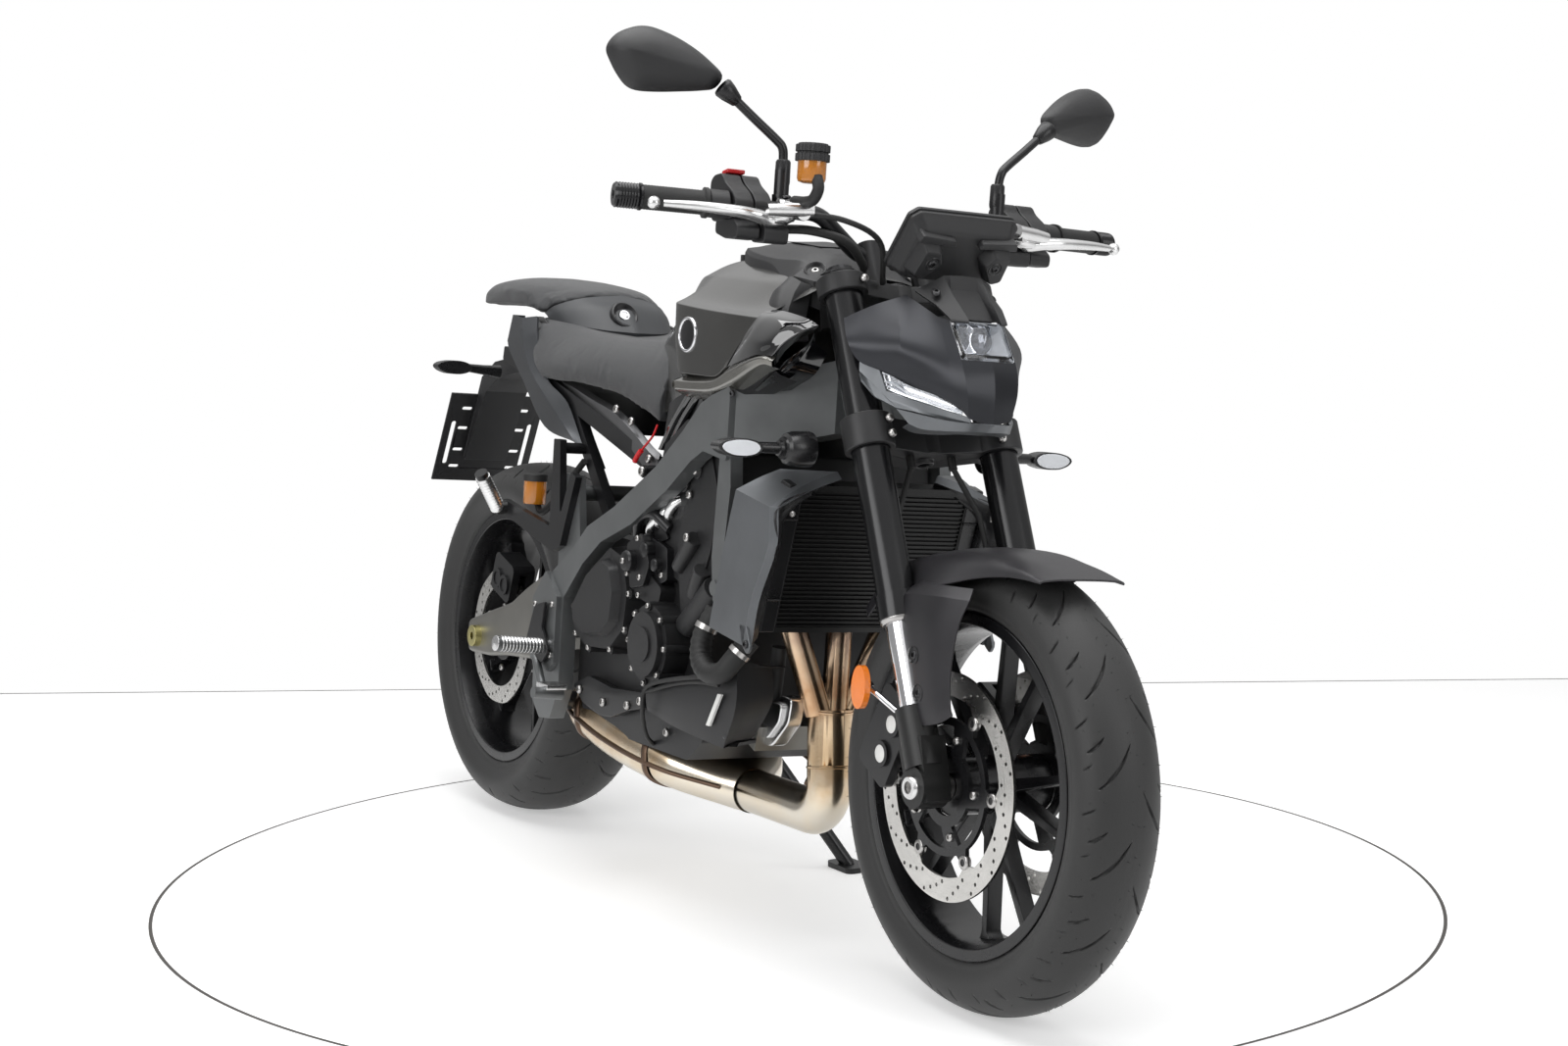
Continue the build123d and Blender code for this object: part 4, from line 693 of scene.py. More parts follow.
def discParts(name, values):
    side, y, axle = values["side"], values["y"], values["axle"]
    axes = discAxes(axle, y)
    outer, inner = values["outer"], values["inner"]
    turn = np.linspace(0, math.tau, 241)[:-1]
    if values["bobbins"]:
        # The band's inner edge reaches in to each bobbin
        reach = np.clip(1 - np.abs((turn * values["bobbins"] / math.tau + 0.5) % 1 - 0.5) * 7.5, 0, 1)
        innerRadius = inner - 9 * reach**0.6
    else:
        innerRadius = inner + 0 * turn
        outer = outer - 1.6 * (0.5 - 0.5 * np.cos(turn * 10))
    middle = (values["outer"] + inner) / 2 + 0.5
    holes = []
    for k in range(values["holes"]):
        at, angle = middle + holeRows[k % 4], math.tau * k / values["holes"]
        holes.append(circlePoints(holeRadius, 10, (at * math.cos(angle), at * math.sin(angle))))
    outlines = [onCircle(outer, turn), onCircle(innerRadius, turn)] + holes
    band = Shape(pierced(outlines, -bandHalf, bandHalf, axes))
    if values["bobbins"]:
        # Black carrier: a slim ring with an ear at each bobbin and an arm to each hub bolt
        number = values["bobbins"]
        ear = np.clip(1 - np.abs((turn * number / math.tau + 0.5) % 1 - 0.5) * 9, 0, 1)**0.7
        near, far = values["window"]
        outlines = [onCircle(values["rim"] + values["ear"] * ear, turn), circlePoints(values["hub"], 40)]
        for k in range(values["bolts"]):
            start, end = math.tau * (k + 0.14) / values["bolts"], math.tau * (k + 0.86) / values["bolts"]
            fan = np.linspace(start, end, 14)
            back = fan[::-1] * 0.92 + fan.mean() * 0.08 + values["windowLean"]
            outlines.append(np.concatenate([onCircle(far, fan), onCircle(near, back)]))
        carrier = Shape(pierced(outlines, -3.0, 3.0, axes))
        build(name + "Carrier", carrier, wheelBlack, values["body"], edge=0.8, sharp=40)
        angles = math.tau * np.arange(number) / number
        spots = axes(*onCircle(values["bobbinAt"], angles).T, 0 * angles)
        ring = turned([(-4.2,5.0), (-4.2,8.4), (-3.2,9.6), (3.2,9.6), (4.2,8.4), (4.2,5.0)], around=20,
            closed=True)
        build(name + "Bobbins", Shape(scatter(ring, spots, (0, side, 0))), boltSteel, values["body"],
            sharp=50)
    angles = math.tau * np.arange(values["bolts"]) / values["bolts"]
    spots = axes(*onCircle(values["boltAt"], angles).T, 0 * angles + side * 2.6)
    build(name + "Bolts", Shape(scatter(bolt, spots, (0, side, 0), 1.15)), boltSteel, values["body"],
        sharp=50)
    obj = build(name + "Band", band, discSteel, values["body"], values["node"], edge=0.35, segments=1,
        sharp=60)
    ringAttribute(obj, axle)


def ringAttribute(obj, axle):
    # Distance from the axle, for turning marks
    points = np.zeros(len(obj.data.vertices) * 3, np.float32)
    obj.data.vertices.foreach_get("co", points)
    away = points.reshape(-1, 3) - place(axle)
    away = away - (away @ leftDir)[:, None] * leftDir
    attribute = obj.data.attributes.new("ring", "FLOAT", "POINT")
    attribute.data.foreach_set("value", np.linalg.norm(away, axis=1).astype(np.float32))


for name, values in discs.items():
    discParts(name + "Disc", values)
print("discs")

# ---- Body panels: smooth surfaces through nets of points, worked on the right side and mirrored
def facingOut(points, faces, inside):
    # Whether faces point, on the whole, away from a spot inside them
    corner = points[faces]
    normal = np.cross(corner[:, 1] - corner[:, 0], corner[:, 2] - corner[:, 0])
    return np.sum(normal * (corner.mean(1) - np.asarray(inside, float))) > 0


def net(points, inside, perRow=6, perColumn=6, rowFolds=(), columnFolds=(), keep=None):
    # A smooth net whose faces point away from a spot inside it; keep leaves out spans (a window)
    points, faces = smoothNet(points, perRow, perColumn, rowFolds, columnFolds)
    if keep is not None:
        row, column = np.divmod(np.arange(len(faces)), len(keep[0]) * perColumn)
        faces = faces[np.asarray(keep, bool)[row // perRow, column // perColumn]]
    return points, (faces if facingOut(points, faces, inside) else faces[:, ::-1])


# Stations from rear to front; across each from the middle of the top out to the shoulder and down
tank = {
    "net": [
        [(575,0,905), (575,-35,900), (575,-60,884), (575,-75,862), (575,-85,840), (575,-90,800),
        (575,-92,760)],
        [(640,0,950), (640,-44,942), (640,-74,918), (640,-90,892), (640,-100,868), (640,-108,812),
        (640,-116,748)],
        [(715,0,984), (715,-52,976), (715,-94,954), (715,-106,916), (715,-116,884), (715,-126,830),
        (712,-134,752)],
        [(778,0,994), (778,-56,985), (778,-114,957), (780,-130,925), (781,-142,895), (782,-148,845),
        (786,-148,790)],
        [(810,0,995), (810,-57,985), (810,-119,957), (808,-160,926), (808,-180,912), (812,-180,860),
        (819,-177,812)],
        [(824,0,995), (824,-57,985), (824,-120,957), (824,-162,925), (824,-190,911), (828,-191,860),
        (836,-188,810)],
        [(900,0,993), (900,-58,983), (900,-120,953), (900,-162,918), (900,-192,904), (900,-194,858),
        (900,-190,808)],
        [(985,0,985), (985,-58,975), (985,-120,947), (985,-162,910), (985,-193,898), (972,-194,855),
        (950,-190,808)],
        [(1062,0,962), (1062,-60,955), (1062,-112,930), (1060,-160,906), (1062,-189,893), (1022,-193,856),
        (980,-190,822)]],
}
shape = Shape().sheet(tank["net"], (850, 0, 850), 8, 8, columnFolds=(2, 4))
# The flank turns in under the tank behind the lip
shape.sheet([
    [(786,-148,790), (819,-177,812), (836,-188,810), (900,-190,808), (950,-190,808), (980,-190,822)],
    [(790,-120,786), (822,-150,804), (838,-160,802), (900,-162,800), (950,-162,800), (985,-160,815)]],
    (880, -150, 900), 2, 8)
build("tankSkin", shape, tankGrey, node="fuel_tank", edge=4, segments=3, sharp=24, weld=0.3)

topCover = {
    "net": [
        [(785,0,1007), (786,-34,1007), (794,-62,1003), (794,-66,996), (794,-66,975)],
        [(850,0,1013), (850,-46,1010), (850,-80,994), (850,-84,986), (850,-86,965)],
        [(925,0,1012), (925,-50,1008), (925,-88,984), (927,-93,974), (927,-95,950)],
        [(985,0,1003), (985,-50,1000), (988,-86,981), (990,-106,947), (990,-108,925)],
        [(1008,0,996), (1010,-45,992), (1008,-80,976), (1016,-109,957), (1020,-110,915)],
        [(1020,0,988), (1018,-45,985), (1030,-70,968), (1048,-95,951), (1050,-98,915)],
        [(1040,0,960), (1040,-40,962), (1048,-60,958), (1054,-84,949), (1056,-86,910)],
        [(1048,0,890), (1048,-42,890), (1052,-60,888), (1057,-80,885), (1058,-84,880)]],
    "boltAt": (1026, -80, 968), "boltWay": (0.55, -0.45, 0.75),
}
build("tankTopCover", Shape().sheet(topCover["net"], (930, 0, 900), 5, 6, rowFolds=(4, 5, 6),
    columnFolds=(2, 3)), mattePlastic, edge=2, segments=2, sharp=22, weld=0.3)
# Mesh inset on the cover's top
inset = Shape()
points, faces = smoothNet([
    [(860,0,1014.6), (866,-40,1012.8)], [(925,0,1014), (925,-52,1009)], [(985,0,1005), (980,-46,1003)]],
    14, 14)
inset.both(points, faces[:, ::-1])
build("tankTopMesh", inset, sideBlack, wall=1.0)
dish = turned([(-5,0.0), (-5,6.5), (-3.5,9.5), (0.6,13.5), (1.4,15.5), (0.2,16.5), (-4,17)], around=28)
spot, way = np.array(topCover["boltAt"]), np.array(topCover["boltWay"])
build("tankCoverCups", Shape(scatter(dish, [spot, mirrored(spot)], [way, mirrored(way)])), smoothPlastic)
bolts("tankCoverBolts", [spot - way * 4.5], way, boltSteel, 6.5, 5, hexDepth=2.6)

shape = Shape().sheet([
    [(992,-106,946), (1022,-118,956), (1043,-112,949), (1048,-96,944)],
    [(998,-130,934), (1030,-139,938), (1053,-128,932), (1056,-104,920)],
    [(1006,-150,908), (1046,-154,913), (1070,-146,904), (1064,-112,895)],
    [(1012,-160,885), (1048,-160,888), (1080,-150,882), (1076,-114,866)]], (1020, -60, 900), 5, 5,
    columnFolds=(2,), rowFolds=(1,))
shape.sheet([
    [(1082,-152,892), (1072,-142,902), (1064,-114,902)], [(1088,-154,862), (1086,-144,864), (1078,-114,866)]],
    (1030, -90, 880), 4, 4, columnFolds=(1,))
build("tankSideBlocks", shape, mattePlastic, wall=6, edge=1.6, sharp=24)

intake = {
    "skin": [
        [(1040,-160,906), (1091,-164,904), (1140,-156,895), (1156,-146,886)],
        [(1060,-188,894), (1090,-190,892), (1132,-184,885), (1156,-168,878)],
        [(1022,-192,858), (1065,-201,864), (1108,-202,861), (1140,-186,862)],
        [(980,-189,822), (1035,-199,831), (1088,-204,841), (1123,-198,841)]],
    "mouth": [
        [(1156,-146,886), (1156,-168,878), (1140,-186,862), (1123,-198,841)],
        [(1128,-140,876), (1126,-156,868), (1112,-170,850), (1098,-178,828)]],
    "chin": [
        [(1158,-152,880), (1150,-160,858), (1124,-176,836), (1096,-180,816)],
        [(1148,-146,862), (1120,-160,830), (1075,-168,808), (1032,-170,792)],
        [(1140,-120,850), (1110,-120,820), (1060,-120,800), (1020,-120,785)]],
    "under": [
        [(950,-190,786), (1005,-192,798), (1060,-190,816), (1100,-186,826)],
        [(944,-178,772), (980,-176,774), (1034,-172,794), (1098,-168,816)],
        [(944,-140,768), (980,-140,770), (1034,-140,788), (1098,-140,808)]],
}
shape = Shape().sheet(intake["skin"], (1040, -100, 850), 7, 7)
points, faces = net(intake["mouth"], (1200, -200, 850), 4, 7)
shape.both(points, faces[:, ::-1])
shape.sheet(intake["chin"], (1060, -100, 860), 5, 6, rowFolds=(1,))
build("intakeSkins", shape, glossBlack, node="tank_panels", edge=2, sharp=26, weld=0.3)
build("intakeUnders", Shape().sheet(intake["under"], (1030, -100, 850), 4, 6, rowFolds=(1,)), smoothPlastic,
    edge=1.2, sharp=26)
lip = [
    [(842,-180,806), (900,-181,806), (958,-184,811), (1003,-190,828), (1091,-198,843), (1126,-192,840)],
    [(833,-195,798), (895,-197,798), (955,-198,801), (1010,-203,816), (1095,-208,837), (1127,-200,834)],
    [(833,-194,786), (895,-196,786), (955,-197,789), (1020,-201,803), (1100,-205,828), (1124,-198,827)],
    [(838,-174,775), (895,-176,773), (948,-178,774), (1028,-180,795), (1096,-184,818), (1116,-180,824)]]
shape = Shape().sheet(lip, (980, -120, 800), 4, 8, rowFolds=(1, 2))
shape.sheet([
    [(842,-180,806), (833,-195,798), (833,-194,786), (838,-174,775)],
    [(842,-150,806), (833,-150,798), (833,-150,786), (838,-150,775)]], (900, -160, 790), 2, 4)
build("intakeLips", shape, lipGrey, edge=2.2, sharp=26, weld=0.3)
bolts("intakeBolts", [(1008,-191,786)], (0.1, -1, -0.25), darkBolt, 5, 4, hexDepth=2.2)

# Bare badge: a dark disc in a bright ring
badge = {"at": (867, -193.2, 866), "radius": 26}
size = badge["radius"]
ring = turned([(-3, size - 4.5), (2.2, size - 4.5), (3.2, size - 3.5), (3.2, size - 1), (2.2, size),
    (-3, size)], around=48, closed=True)
disc = turned([(-2, size - 3.5), (1.2, size - 4.2), (2.0, 0.6 * size), (2.3,0)], around=48)
spots, ways = [badge["at"], mirrored(badge["at"])], [(0.02,-1,0.0), (0.02,1,0.0)]
build("badgeRings", Shape(scatter(ring, spots, ways)), badgeSilver, sharp=50)
build("badgeDiscs", Shape(scatter(disc, spots, ways)), satinBlack)

# Ribbed infill between the tank, the seat and the frame
shape = Shape()
for shift in (0, 24):
    shape.sheet([
        [(786 + shift, -149, 776), (800 + shift, -151, 776), (806 + shift, -147, 776)],
        [(736 + shift, -145, 736), (750 + shift, -148, 736), (756 + shift, -143, 736)],
        [(690 + shift, -140, 690), (704 + shift, -143, 690), (710 + shift, -138, 690)]],
        (760, -100, 740), 6, 3, columnFolds=(1,))
build("infillSlats", shape, glossBlack, wall=14, edge=1.5, sharp=24)
build("infillPanels", Shape().sheet([
    [(712,-136,762), (760,-146,775), (840,-152,790)], [(690,-130,716), (740,-136,730), (830,-142,760)],
    [(680,-124,670), (730,-130,690), (800,-138,716)]], (760, -90, 740), 5, 5), satinBlack, wall=3, edge=1)
print("tank and its covers")

# ---- Seats and tail
def stuffed(piece, voxel=5.0, pressure=4.0, cap=5.0):
    # The cover blown up by its foam: an even mesh, cloth under pressure, no point moved more than cap mm
    scene = bpy.context.scene

    def baked():
        # What the modifiers make of the piece becomes its own mesh
        mesh = bpy.data.meshes.new_from_object(piece.evaluated_get(bpy.context.evaluated_depsgraph_get()))
        piece.modifiers.clear()
        piece.data = mesh

    def points(mesh):
        flat = np.empty(len(mesh.vertices) * 3, np.float32)
        mesh.vertices.foreach_get("co", flat)
        return flat.reshape(-1, 3)

    baked()
    even = piece.modifiers.new("even", "REMESH")
    even.mode, even.voxel_size, even.use_smooth_shade = "VOXEL", voxel * 0.001, True
    baked()
    start = points(piece.data)
    cloth = piece.modifiers.new("cloth", "CLOTH")
    cloth.settings.use_pressure, cloth.settings.uniform_pressure_force = True, pressure
    cloth.settings.effector_weights.gravity = 0
    for step in range(1, 21):
        scene.frame_set(step)
    moved = points(piece.evaluated_get(bpy.context.evaluated_depsgraph_get()).data) - start
    piece.modifiers.clear()
    scene.frame_set(1)
    far = np.linalg.norm(moved, axis=1)[:, None]
    moved *= np.minimum(1, cap * 0.001 / np.maximum(far, 1e-9))
    piece.data.vertices.foreach_set("co", (start + moved).ravel())
    piece.data.update()
    fine = piece.modifiers.new("fine", "SUBSURF")
    fine.levels = fine.render_levels = 1
    print("stuffed", piece.name, len(start), "points, furthest move", round(float(far.max()) * 1000, 1), "mm")


seat = {
    "net": [
        [(150,0,880), (150,-60,885), (160,-100,888), (170,-125,885), (187,-140,874), (215,-151,845),
        (236,-154,816), (260,-150,794)],
        [(232,0,872), (232,-60,876), (234,-95,879), (240,-122,871), (248,-141,854), (260,-155,826),
        (272,-158,802), (286,-150,783)],
        [(310,0,860), (310,-60,864), (310,-95,866), (312,-124,855), (316,-143,836), (320,-157,810),
        (324,-158,792), (328,-148,778)],
        [(420,0,849), (420,-60,854), (420,-92,856), (420,-120,846), (420,-140,828), (420,-154,803),
        (420,-155,787), (420,-146,775)],
        [(520,0,851), (520,-55,854), (520,-84,852), (520,-111,841), (520,-130,823), (521,-146,796),
        (522,-149,778), (524,-142,766)],
        [(600,0,862), (600,-46,861), (600,-72,854), (600,-96,841), (600,-115,822), (602,-134,790),
        (604,-141,764), (606,-138,749)],
        [(652,0,878), (655,-38,874), (660,-64,862), (664,-86,844), (668,-104,822), (674,-122,785),
        (680,-134,752), (683,-134,728)]],
}
shape = Shape().sheet(seat["net"], (420, 0, 800), 7, 6)
riderSeat = build("riderSeatCover", shape, seatCover, node="rider_seat", wall=20, weld=0.3, edge=2.5,
    sharp=50)
stuffed(riderSeat)

pillion = {
    "pad": [
        [(-78,0,944), (-76,-60,942), (-70,-100,934), (-62,-118,920), (-56,-120,905)],
        [(-40,0,955), (-40,-60,952), (-36,-104,942), (-30,-124,928), (-24,-126,906)],
        [(40,0,958), (40,-60,955), (44,-106,945), (52,-127,931), (60,-129,906)],
        [(120,0,952), (120,-60,948), (118,-106,940), (126,-126,926), (140,-127,902)],
        [(200,0,942), (195,-58,937), (178,-102,925), (170,-116,912), (172,-120,897)],
        [(250,0,933), (240,-58,928), (214,-98,914), (196,-108,904), (186,-112,893)]],
    "panel": [
        [(186,-113,896), (212,-104,910), (240,-66,925), (252,0,934)],
        [(198,-114,892), (236,-100,899), (272,-60,908), (286,0,912)],
        [(206,-113,886), (262,-94,878), (304,-56,872), (320,0,870)],
        [(205,-108,878), (258,-88,866), (300,-52,860), (316,0,858)]],
}
shape = Shape().sheet(pillion["pad"], (90, 0, 900), 7, 6, columnFolds=(3,))
pillionPad = build("pillionPad", shape, seatCover, node="passenger_seat", wall=18,
    weld=0.3, edge=3, segments=3, sharp=28)
stuffed(pillionPad)
build("pillionPanel", Shape().sheet(pillion["panel"], (180, 0, 890), 6, 8, rowFolds=(2,)), seatPanel, wall=3,
    weld=0.3, edge=1.5, sharp=28)
key = {"at": (292, -14, 898), "way": (0.86, 0, 0.5)}
build("keyCup", Shape(turned([(-4,0), (-4,10), (-2,13), (5,19), (6.5,22), (5.5,24), (0,26)], key["at"],
    key["way"], 40)), smoothPlastic)
build("keyLock", Shape(turned([(-3,10), (3.4,10.2), (4.6,9.2), (4.6,6.4), (3.6,6.0), (3.6,0)], key["at"],
    key["way"], 40)), badgeSilver, sharp=50)

fin = [
    [(136,-128,890), (137,-150,890), (185,-154,885), (216,-140,889)],
    [(132,-132,845), (133,-156,845), (205,-161,850), (236,-149,862)],
    [(150,-134,822), (152,-158,825), (235,-164,815), (262,-151,822)],
    [(210,-134,775), (212,-158,779), (276,-163,780), (300,-150,781)],
    [(300,-130,704), (304,-156,706), (350,-161,735), (372,-148,748)],
    [(408,-128,683), (413,-150,685), (420,-154,686), (428,-142,681)]]
build("tailFins", Shape().sheet(fin, (250, -60, 800), 6, 5, columnFolds=(1, 2), rowFolds=(1,)), panelGrey,
    node="tail_covers", wall=5, edge=2.2, sharp=24)
inner = [
    [(140,-125,885), (215,-125,885), (260,-125,830), (300,-125,785)],
    [(136,-120,840), (220,-120,820), (290,-120,775), (360,-120,760)],
    [(210,-110,770), (290,-110,740), (360,-112,720), (400,-115,700)],
    [(330,-105,690), (380,-105,670), (420,-108,655), (450,-112,645)]]
build("tailInner", Shape().sheet(inner, (250, 0, 780), 5, 5), smoothPlastic, wall=3)
rail = [
    [(296,-122,786), (350,-124,783), (440,-126,762), (530,-129,744), (605,-132,718), (660,-134,694),
    (688,-134,684)],
    [(300,-132,780), (350,-134,776), (440,-136,756), (530,-139,738), (605,-142,712), (660,-144,688),
    (697,-142,672)],
    [(303,-132,762), (350,-134,756), (440,-136,734), (530,-139,712), (605,-142,684), (655,-144,660),
    (690,-142,652)],
    [(306,-122,756), (350,-124,750), (440,-126,728), (530,-129,706), (605,-132,678), (650,-134,654),
    (684,-134,646)]]
build("seatRails", Shape().sheet(rail, (480, -90, 730), 3, 8, rowFolds=(1, 2)), railAlloy, wall=5, edge=1.5,
    sharp=24)
bolts("seatRailBolts", [(545,-141,745), (606,-144,728), (679,-147,674)], (0, -1, 0.25), boltSteel, 7.5, 6)
tie = smoothLine([(696,-146,728), (692,-150,712), (680,-152,700), (668,-154,690), (660,-154,682)], 8)
tag = smoothLine([(664,-155,686), (655,-156,678), (646,-156,668)], 6)
build("redTie", Shape(tube(tie, 1.8, 8)).add(*tube(tag, 4.2, 10)), redPlastic)
print("seats and tail")

# ---- Front fender: a crown about the axle, blending into the side plates before the fork legs
# The crown's rows: degrees up from straight ahead about the axle, then (y, radius) from the middle out
fender = {
    "crown": [(60.6, [(0,329), (-34,328.5), (-60,326.5), (-67,323)]),
        (67, [(0,324), (-38,323), (-63,317), (-70,307)]), (73, [(0,320), (-40,317.5), (-66,308), (-74,294)]),
        (81, [(0,315), (-42,312.5), (-70,302), (-84,278)]), (91, [(0,311), (-44,308), (-74,297), (-100,262)]),
        (101, [(0,310), (-44,307), (-74,296), (-98,262)]), (113, [(0,316), (-44,313), (-72,300), (-82,272)]),
        (126, [(0,331), (-42,328), (-66,316), (-74,292)]), (140, [(0,334), (-38,331), (-58,320), (-66,300)])],
    "plate": [
        [(1352,-84,560), (1384,-98,562), (1428,-100,562), (1474,-84,562)],
        [(1344,-108,540), (1386,-115,545), (1438,-114,548), (1486,-98,547)],
        [(1358,-115,506), (1394,-118,508), (1436,-118,511), (1476,-106,512)],
        [(1382,-116,452), (1408,-119,452), (1442,-119,455), (1472,-110,458)],
        [(1400,-116,404), (1420,-119,404), (1450,-118,408), (1478,-112,414)],
        [(1410,-114,380), (1432,-117,380), (1462,-115,388), (1482,-110,400)]],
}
crown = np.array([
    [(wheelbase + r * math.cos(math.radians(a)), y, frontRadius + r * math.sin(math.radians(a)))
        for y, r in row] for a, row in fender["crown"]])
shape = Shape().sheet(crown, (wheelbase, 0, 400), 7, 7)
shape.sheet(fender["plate"], (1420, -40, 480), 6, 6, rowFolds=(1,))
build("fenderSkin", shape, fenderBlack, "steering", "front_fender", wall=3, edge=1.2, sharp=26, weld=0.4)
cup = turned([(-4,0), (-4,7.5), (-2,9), (0.8,10.5), (0.2,12)], around=24)
spots, way = np.array([(1399,-119.6,467), (1415,-119.6,420)]), np.array([0, -1, 0.03])
cups = scatter(cup, np.concatenate([spots, mirrored(spots)]), np.repeat([way, mirrored(way)], 2, 0))
build("fenderCups", Shape(cups), smoothPlastic, "steering")
bolts("fenderBolts", spots - way * 3.5, way, darkBolt, 6.5, 4.5, body="steering", hexDepth=2.6)
print("fender")

# ---- Headlight cowl: side panels, nose with its window, lower trim and chin. The daytime lamp is a bent
# band given by its upper and lower edge
cowl = {
    "side": [
        [(1320,0,903), (1319,-44,902), (1303,-51,906), (1243,-64,934), (1224,-102,918), (1196,-132,898)],
        [(1361,0,851), (1353,-44,851), (1337,-56,853), (1286,-98,872), (1250,-119,868), (1221,-139,866)],
        [(1373,0,812), (1367,-41,813), (1349,-54,818), (1299,-86,830), (1265,-106,834), (1233,-125,840)],
        [(1373,0,766), (1366,-34,774), (1359,-41,784), (1326,-62,802), (1285,-85,815), (1257,-101,832)]],
    "keep": [[0, 1, 1, 1, 1], [1, 1, 1, 1, 1], [1, 1, 1, 1, 1]],
    "lamp": [
        [(1254,-104,833), (1279,-92,830), (1286,-85,815), (1326,-62,802), (1360,-41,790)],
        [(1264,-99,806), (1274,-93,802), (1288,-84,798), (1327,-62,788), (1360,-41,779)]],
    "trim": [
        [(1222,-119,843), (1252,-106,832), (1263,-100,804), (1289,-84,796), (1328,-62,786), (1366,-34,776)],
        [(1225,-120,828), (1246,-110,812), (1268,-97,792), (1301,-76,783), (1340,-53,775), (1368,-32,769)],
        [(1238,-123,817), (1256,-112,795), (1281,-92,782), (1305,-74,778), (1348,-43,768), (1360,-30,766)]],
    "chin": [
        [(1280,-93,781), (1306,-78,776), (1340,-56,770), (1366,-30,768), (1374,0,768)],
        [(1296,-82,762), (1314,-70,756), (1342,-50,756), (1361,-28,757), (1366,0,757)],
        [(1278,-80,756), (1294,-70,750), (1320,-50,750), (1336,-28,752), (1338,0,752)]],
}
build("cowlSkin", Shape().sheet(cowl["side"], (1260, 0, 840), 7, 7, columnFolds=(1, 2, 3), keep=cowl["keep"]),
    cowlGrey, "steering", "headlight_cowl", wall=3.5, edge=2.2, segments=3, sharp=16, weld=0.3)
shape = Shape().sheet(cowl["trim"], (1280, 0, 820), 5, 7, rowFolds=(1,), columnFolds=(1, 2))
shape.sheet(cowl["chin"], (1300, 0, 800), 5, 7, rowFolds=(1,))
build("cowlTrim", shape, shroudGrey, "steering", wall=3, edge=1.4, sharp=24, weld=0.3)

points, faces = net(cowl["lamp"], (1290, 0, 820), 5, 8, columnFolds=(1, 2))
lampBack = points + [-7.0, 5.0, -1.5]
build("dayLampBack", Shape().both(lampBack, faces), lampSilver, "steering")
# Bars behind the lens, following the band
grid = points.reshape(6, 33, 3) + [-3.2, 2.2, -0.6]
shape = Shape()
for row, size in ((1, 1.1), (3, 1.5), (4, 0.9)):
    shape.both(*tube(grid[row], size, 8))
build("dayLampBars", shape, lampWhite, "steering")
build("dayLampLens", Shape().both(points, faces), clearLens, "steering", wall=2.2, edge=0.8, sharp=24)

lampBox = {"lenses": [(-20,17.5), (17,17.5)], "z": 877}
corners = rounded([(-43,851), (43,851), (43,902), (-43,902)], 5)
deeper = rounded([(-38,857), (38,857), (38,897), (-38,897)], 8)


def onWindow(outline, x, slope=0.66):
    # The window leans back: its upper edge sits further to the rear than its lower one
    return np.stack([x - slope * (outline[:, 1] - 851), outline[:, 0], outline[:, 1]], -1)


rings = np.stack([onWindow(corners, 1353), onWindow(corners, 1345), onWindow(deeper, 1322),
    onWindow(deeper, 1308)])
faces = gridFaces(4, rings.shape[1], closeColumns=True)
build("lampHousing", Shape((rings, [faces, np.arange(rings.shape[1]) + 3 * rings.shape[1]])), lampWhite,
    "steering", "headlight", sharp=40)
eyes, bezels = Shape(), Shape()
for y, radius in lampBox["lenses"]:
    dome = turned([(8,0), (7.4, radius * 0.4), (5.2, radius * 0.75), (1.5, radius * 0.96), (0, radius)][::-1],
        (1306, y, lampBox["z"]), (1, 0, 0.12), 36)
    eyes.add(*dome)
    bezels.add(*turned([(-12, radius + 3), (3, radius + 3), (4, radius + 2), (4, radius), (-2, radius - 1.5)],
        (1304, y, lampBox["z"]), (1, 0, 0.12), 36))
build("lampEyes", eyes, eyeGlass, "steering")
build("lampBezels", bezels, lampSilver, "steering", sharp=50)
glass = onWindow(np.array([(y, z) for z in np.linspace(852, 901, 6) for y in np.linspace(-42.5, 42.5, 9)]),
    1352)
glass[:, 0] += 2.5 * (1 - (glass[:, 1] / 43)**2)
build("lampGlass", Shape((glass, gridFaces(6, 9))), clearLens, "steering", wall=2)
print("headlight cowl")

# ---- Display: housing with stepped rim, seen from behind, on its lugs and bracket
display = {"at": (1215, 0, 988), "up": (0.648, 0, 0.762), "out": (0.762, 0, -0.648)}


def onDisplay(u, v, w):
    # u across, v up the housing, w out of its back, in mm
    at, up, out = (np.array(display[key], float) for key in ("at", "up", "out"))
    return (at + np.asarray(u)[..., None] * [0, 1, 0] + np.asarray(v)[..., None] * up
        + np.asarray(w)[..., None] * out)


def displayLayer(outline, w):
    outline = np.asarray(outline, float)
    return onDisplay(outline[:, 0], outline[:, 1], np.full(len(outline), float(w)))


def loft(rings):
    # A closed body through rings of equal length
    points = np.concatenate(rings)
    faces = ringFaces(len(rings), len(rings[0]))
    return points, (faces if facingOut(points, faces[0], points.mean(0)) else flipped(faces))


def housingLayers(rows):
    # A box with cut corners at each level, from its half width, lower and upper edge, corner and level
    layers = []
    for half, low, high, cut, w in rows:
        wide, top = half - cut * 1.2, high - cut * 1.2
        outline = [(-half + cut, low), (half - cut, low), (half, low + cut), (half, top), (wide, high),
            (-wide, high), (-half, top), (-half, low + cut)]
        layers.append(displayLayer(rounded(outline, 3, 3), w))
    return layers


